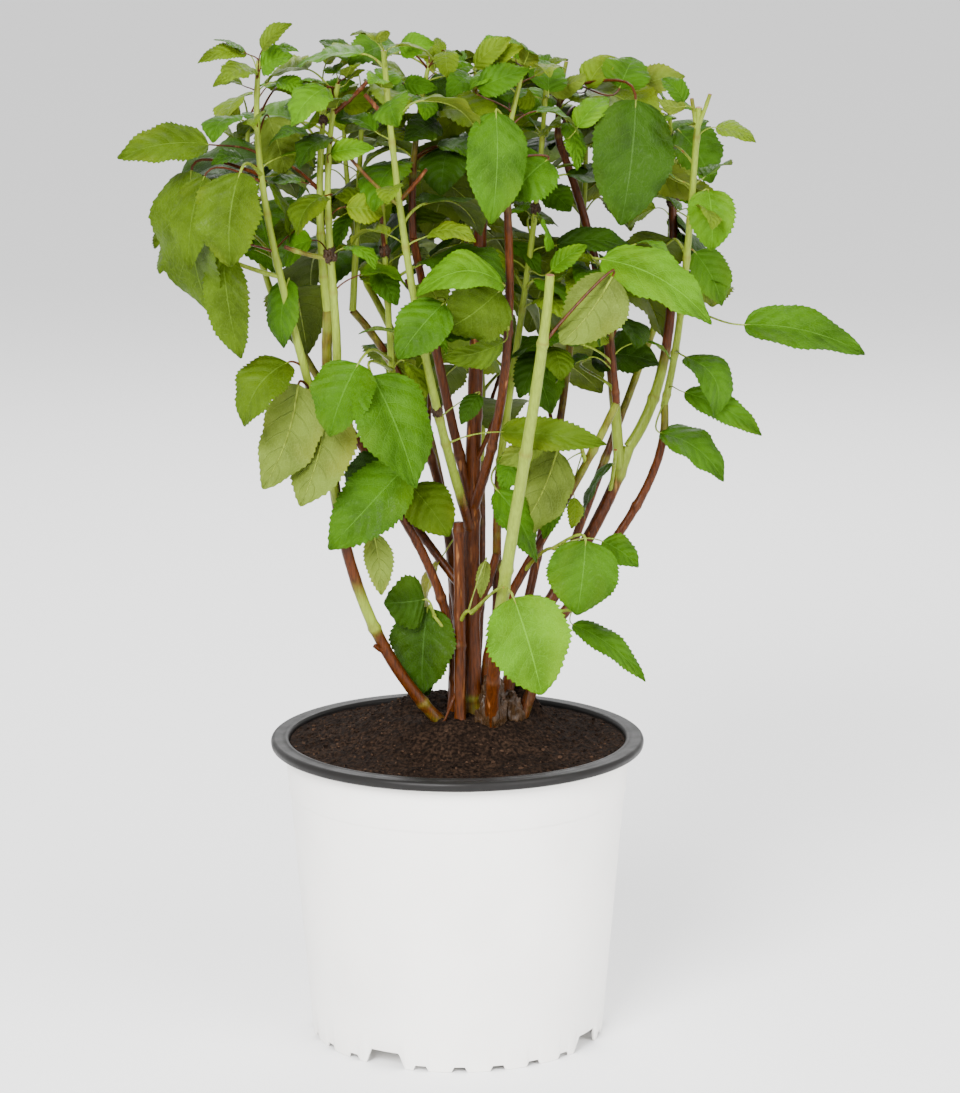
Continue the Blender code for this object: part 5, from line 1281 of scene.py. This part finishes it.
def leaf_rings(leaves, teeth, look):
    """Blades as closed rings of points, all at once.

    Along u a blade's midrib is a quadratic curve from base over bow to tip.  Half
    its width is sin(pi u^0.74)^0.62 (1 - 0.45 u^7), and every second station of the
    margin is a tooth, pushed out and forward.  Across v the blade is a shallow V
    that turns down at the margin; a ripple between the side veins and a slow wave
    along the margin are added, and the blade twists a little towards its tip.  The
    lower face is the same surface, one thickness below.
    """
    rng = np.random.default_rng(len(leaves))
    base, bow, tip, up = gather(leaves, "base", "bow", "tip", "up")
    half = np.array([leaf.half for leaf in leaves])[:, None, None]
    count = len(leaves)
    v = np.array(ACROSS)
    v = np.concatenate([v, v[-2:0:-1]])
    under = np.arange(len(v)) >= len(ACROSS)
    edge = np.abs(v) == 1
    station = np.linspace(0, 1, 2 * teeth + 2)[1:-1]
    odd = np.arange(len(station)) % 2
    pitch = station[2] - station[0]
    u = np.minimum(station[:, None] + odd[:, None] * edge * pitch * 0.28, 0.995)
    back = 1 - u[None, ..., None]
    forth = u[None, ..., None]
    base, bow, tip, up = (part[:, :, None] for part in (base, bow, tip, up))
    middle = base * back ** 2 + bow * 2 * back * forth + tip * forth ** 2
    along = unit((bow - base) * back + (tip - bow) * forth)
    lift = unit(up - along * (up * along).sum(-1, keepdims=True))
    side = np.cross(along, lift)
    twist = rng.normal(0, 0.22, (count, 1, 1)) * (u - 0.2)
    cos, sin = np.cos(twist)[..., None], np.sin(twist)[..., None]
    side, lift = side * cos + lift * sin, lift * cos - side * sin
    outline = np.sin(math.pi * u ** 0.74) ** 0.62 * (1 - 0.45 * u ** 7)
    tooth = look.tooth * (half / 0.025) ** 0.5 * odd[:, None] * edge * np.sin(math.pi * u) ** 0.4
    tooth = tooth * rng.uniform(0.6, 1.3, (count, 1, 1))
    tooth = tooth * rng.uniform(0.6, 1.3, (count, len(station), len(v)))
    out = half * outline * np.abs(v) + tooth
    a = np.abs(v)
    cup = rng.uniform(0.10, 0.34, (count, 1, 1))
    height = half * outline * (0.30 * a - cup * a ** 2)
    phase = (u - VEIN_LEAN * a ** 1.35) * VEIN_PAIRS
    height = height + look.quilt * np.sin(math.pi * phase) ** 2 * np.sin(math.pi * a) ** 0.5
    turns = rng.uniform(1.5, 3.0, (count, 1, 1))
    start = rng.uniform(0, 2 * math.pi, (count, 1, 2))[..., (v > 0).astype(int)]
    height = height + (look.wave * half * a ** 3 * np.sin(2 * math.pi * turns * u + start)
                       * np.sin(math.pi * u) ** 0.5)
    height = height - look.thickness * under
    rings = middle + side * (np.sign(v) * out)[..., None] + lift * height[..., None]
    poles = np.concatenate([base[:, :, 0], tip[:, :, 0]], axis=1)
    places = np.stack(np.broadcast_arrays((v + 1) / 2, u), -1).reshape(-1, 2)
    places = np.concatenate([places, [(0.5, 0.0), (0.5, 1.0)]])
    return rings, poles, places


def make_leaves(name, leaves, teeth, look, finishes):
    """One piece of blades, each face with a place of its own in the piece's baked map."""
    rings, poles, places = leaf_rings(leaves, teeth, look)
    tint = np.array([list(TINTS).index(leaf.tint) for leaf in leaves])
    top = len(ACROSS) - 1

    def slots(body, row, place):
        """The leaf's tint, counted on by one round of tints on its lower side."""
        return tint[body] + len(TINTS) * (place >= top)

    piece = skin(name, rings, poles, finishes, slots)
    face_below = np.repeat(piece.place >= top, piece.sizes)
    face_body = np.repeat(piece.body, piece.sizes)
    own = places[piece.corners % piece.per]
    columns = math.ceil(math.sqrt(len(leaves) * 2 * 1.4))
    rows = math.ceil(len(leaves) * 2 / columns)
    cell = face_body * 2 + face_below
    corner = np.stack([cell % columns, cell // columns], -1)
    packed = (corner + 0.06 + own * 0.88) / (columns, rows)
    mesh = piece.thing.data
    for title, values in (("OFBake", packed), ("blade", own)):
        layer = mesh.uv_layers.new(name=title)
        layer.data.foreach_set("uv", values.ravel())
    mesh.uv_layers["OFBake"].active = True
    mesh.uv_layers["OFBake"].active_render = True
    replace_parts(piece.thing, *sorted({leaf.stem for leaf in leaves}))


def make_petioles(leaves, finishes):
    """Petioles: thin tapered rounds that arch from the stem and run on as the midrib.

    The first part is a cubic curve from the stem into the blade's own direction, the
    second follows the blade's midrib just under its surface.
    """
    root, base, bow, tip, up = gather(leaves, "root", "base", "bow", "tip", "up")
    half = np.array([leaf.half for leaf in leaves])[:, None]
    rise = base - root
    reach = np.linalg.norm(rise, axis=-1, keepdims=True)
    low = root + unit(rise + np.array((0, 0, 0.012))) * reach * 0.4
    high = base - unit(bow - base) * reach * 0.33
    first = sweep(root, low, high, base, np.linspace(0.0, 0.94, PETIOLE_STEPS)[:, None])
    share = np.linspace(0.0, 0.88, PETIOLE_STEPS)[:, None]
    along = unit((bow - base) * (1 - share) + (tip - bow) * share)
    below = unit(up - along * (up * along).sum(-1, keepdims=True))
    thick = np.clip(half / 0.024, 0.4, 1.0)
    stalk = np.linspace(0.00125, 0.00090, PETIOLE_STEPS)
    stalk = stalk + 0.0006 * np.exp(-(np.linspace(0, 1, PETIOLE_STEPS) / 0.12) ** 2)
    midrib = np.linspace(0.00090, 0.00022, PETIOLE_STEPS)
    depth = (thick * midrib)[..., None] * 1.05 + 0.0001
    second = bend(base, bow, tip, share) - below * depth * np.minimum(1, share * 8 + 0.3)
    centres = np.concatenate([first, second], axis=1)
    radii = (thick * np.concatenate([stalk, midrib]))[..., None]
    radii = np.repeat(radii, PETIOLE_SIDES, axis=2)
    poles = np.stack([centres[:, 0], centres[:, -1] + along[:, -1] * 0.0004], axis=1)
    red = np.array([leaf.stem in RED_PETIOLES and i % 3 != 1 for i, leaf in enumerate(leaves)])
    piece = skin("petioles", tubes(centres, radii), poles, finishes,
                 lambda body, row, place: red[body] * (row < PETIOLE_STEPS) * 1).thing


# ---- operators -----------------------------------------------------------------
class HYDRANGEA_OT_pot(bpy.types.Operator):
    """Make the pot and its rolled lip"""

    bl_idname = "hydrangea.pot"
    bl_label = "Pot and Lip"

    def execute(self, context):
        look = context.scene.hydrangea_pot
        make_pot(look)
        make_rim(look)
        return {"FINISHED"}


class HYDRANGEA_OT_soil(bpy.types.Operator):
    """Fill the pot with soil and scatter its crumbs"""

    bl_idname = "hydrangea.soil"
    bl_label = "Soil"

    def execute(self, context):
        look = context.scene.hydrangea_soil
        make_soil(look)
        make_crumbs(look)
        return {"FINISHED"}


class HYDRANGEA_OT_shrub(bpy.types.Operator):
    """Grow the stems, petioles and leaves"""

    bl_idname = "hydrangea.shrub"
    bl_label = "Stems and Leaves"

    def execute(self, context):
        look = context.scene.hydrangea_stem
        limbs = grow_limbs()
        foliage = Foliage(limbs)
        for row in LEAVES:
            foliage.set_leaf(row)
        foliage.watch_front()
        for stem in SHOOTS:
            foliage.grow(stem.name)
        foliage.grow_young(CAD_BOX)
        leaves = foliage.leaves
        bark = stem_finish("bark_and_green", look.bark, look.flake, look.green)
        cut = stem_finish("cut_wood", look.bark, look.flake, look.flake)
        paper = stem_finish("papery_bark", look.paper, look.bark, look.paper)
        twig_greens = {f"twig_{i}": twig.green for i, twig in enumerate(TWIGS)}
        for name, stems, greens in (
                ("woody_stems", [limbs[stem.name] for stem in LIMBS], GREEN),
                ("green_stems", [limbs[stem.name] for stem in SHOOTS], GREEN),
                ("cut_twigs", twig_limbs(limbs), twig_greens)):
            make_stems(name, stems, leaves, (bark, cut), look.relief, greens)
        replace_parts(make_lumps("gnarled_foot", FOOT_LUMPS, paper), "crown_wood")
        scales = [(*(limbs[stem].point(share) / MM), size, size, size * 1.3)
                  for stem, share, size in BUD_SCALES]
        make_lumps("bud_scales", scales, paper)
        self.make_foliage(context.scene.hydrangea_leaf, look, leaves)
        return {"FINISHED"}

    def make_foliage(self, look, stems, leaves):
        """Blades by size, so that small ones have fewer teeth, then the petioles."""
        finishes = []
        for side, factor, lift, raised, roughness in (("top", 1.6, 0.012, False, 0.42),
                                                      ("under", 1.4, 0.015, True, 0.62)):
            for tint in TINTS:
                colour = getattr(look, f"{side}_{tint}")
                finishes.append(leaf_finish(f"leaf_{side}_{tint}", colour,
                                            shade(colour, factor, lift), raised, roughness))
        for name, (low, high, teeth) in LEAF_PIECES.items():
            chosen = [leaf for leaf in leaves if low <= leaf.length < high]
            make_leaves(name, chosen, teeth, look, finishes)
        green = stem_finish("petiole_green", stems.green, stems.flake, stems.green)
        red = stem_finish("petiole_red", stems.bark, stems.flake, stems.bark)
        make_petioles(leaves, (green, red))


class HYDRANGEA_OT_stage(bpy.types.Operator):
    """Set up the floor, the camera and the studio light"""

    bl_idname = "hydrangea.stage"
    bl_label = "Floor, Camera and Light"

    def execute(self, context):
        look = context.scene.hydrangea_stage
        scene = context.scene
        mesh = bpy.data.meshes.new("floor")
        corners = [(x * FLOOR_REACH, y * FLOOR_REACH, 0)
                   for x, y in ((-1, -1), (1, -1), (1, 1), (-1, 1))]
        mesh.from_pydata(corners, [], [range(4)])
        mesh.materials.append(Finish("floor_pale", look.floor, 0.9).material)
        floor = bpy.data.objects.new("floor", mesh)
        scene.collection.objects.link(floor)
        camera = bpy.data.objects.new("camera", bpy.data.cameras.new("camera"))
        camera.data.sensor_fit = "VERTICAL"
        camera.data.sensor_height = 36.0
        camera.data.lens = VIEW_LENS
        camera.location = FRONT_VIEW
        camera.rotation_euler = (math.pi / 2 - VIEW_TILT, 0.0, 0.0)
        scene.collection.objects.link(camera)
        scene.camera = camera
        for title, place, size, share in LAMPS:
            lamp = bpy.data.objects.new(title, bpy.data.lights.new(title, "AREA"))
            lamp.data.energy = look.light * share
            lamp.data.size = size
            lamp.location = place
            aim = LAMP_AIM - lamp.location
            lamp.rotation_euler = aim.to_track_quat("-Z", "Y").to_euler()
            scene.collection.objects.link(lamp)
        world = bpy.data.worlds.new("studio")
        world.use_nodes = True
        sky = world.node_tree.nodes["Background"]
        sky.inputs["Color"].default_value = (1.0, 1.0, 1.0, 1.0)
        sky.inputs["Strength"].default_value = look.sky
        scene.world = world
        return {"FINISHED"}


class HYDRANGEA_PT_panel(bpy.types.Panel):
    """Lists the settings and the steps that make the shrub"""

    bl_idname = "HYDRANGEA_PT_panel"
    bl_label = "Potted Hydrangea"
    bl_space_type = "VIEW_3D"
    bl_region_type = "UI"
    bl_category = "Hydrangea"

    def draw(self, context):
        for name, group in GROUPS.items():
            box = self.layout.box()
            for title in group.__annotations__:
                box.prop(getattr(context.scene, name), title)
        for operator in OPERATORS:
            self.layout.operator(operator.bl_idname)


GROUPS = {"hydrangea_pot": PotSettings, "hydrangea_soil": SoilSettings,
          "hydrangea_stem": StemSettings, "hydrangea_leaf": LeafSettings,
          "hydrangea_stage": StageSettings}
OPERATORS = (HYDRANGEA_OT_pot, HYDRANGEA_OT_soil, HYDRANGEA_OT_shrub, HYDRANGEA_OT_stage)


def register():
    """Add the settings, operators and panel to Blender."""
    for title, group in GROUPS.items():
        bpy.utils.register_class(group)
        setattr(bpy.types.Scene, title, PointerProperty(type=group))
    for item in (*OPERATORS, HYDRANGEA_PT_panel):
        bpy.utils.register_class(item)


def unregister():
    """Take them out again, the last first."""
    for item in (HYDRANGEA_PT_panel, *reversed(OPERATORS)):
        bpy.utils.unregister_class(item)
    for title, group in reversed(GROUPS.items()):
        delattr(bpy.types.Scene, title)
        bpy.utils.unregister_class(group)


def main():
    """Make the whole scene."""
    register()
    bpy.ops.hydrangea.pot()
    bpy.ops.hydrangea.soil()
    bpy.ops.hydrangea.shrub()
    bpy.ops.hydrangea.stage()


if __name__ == "__main__":
    main()
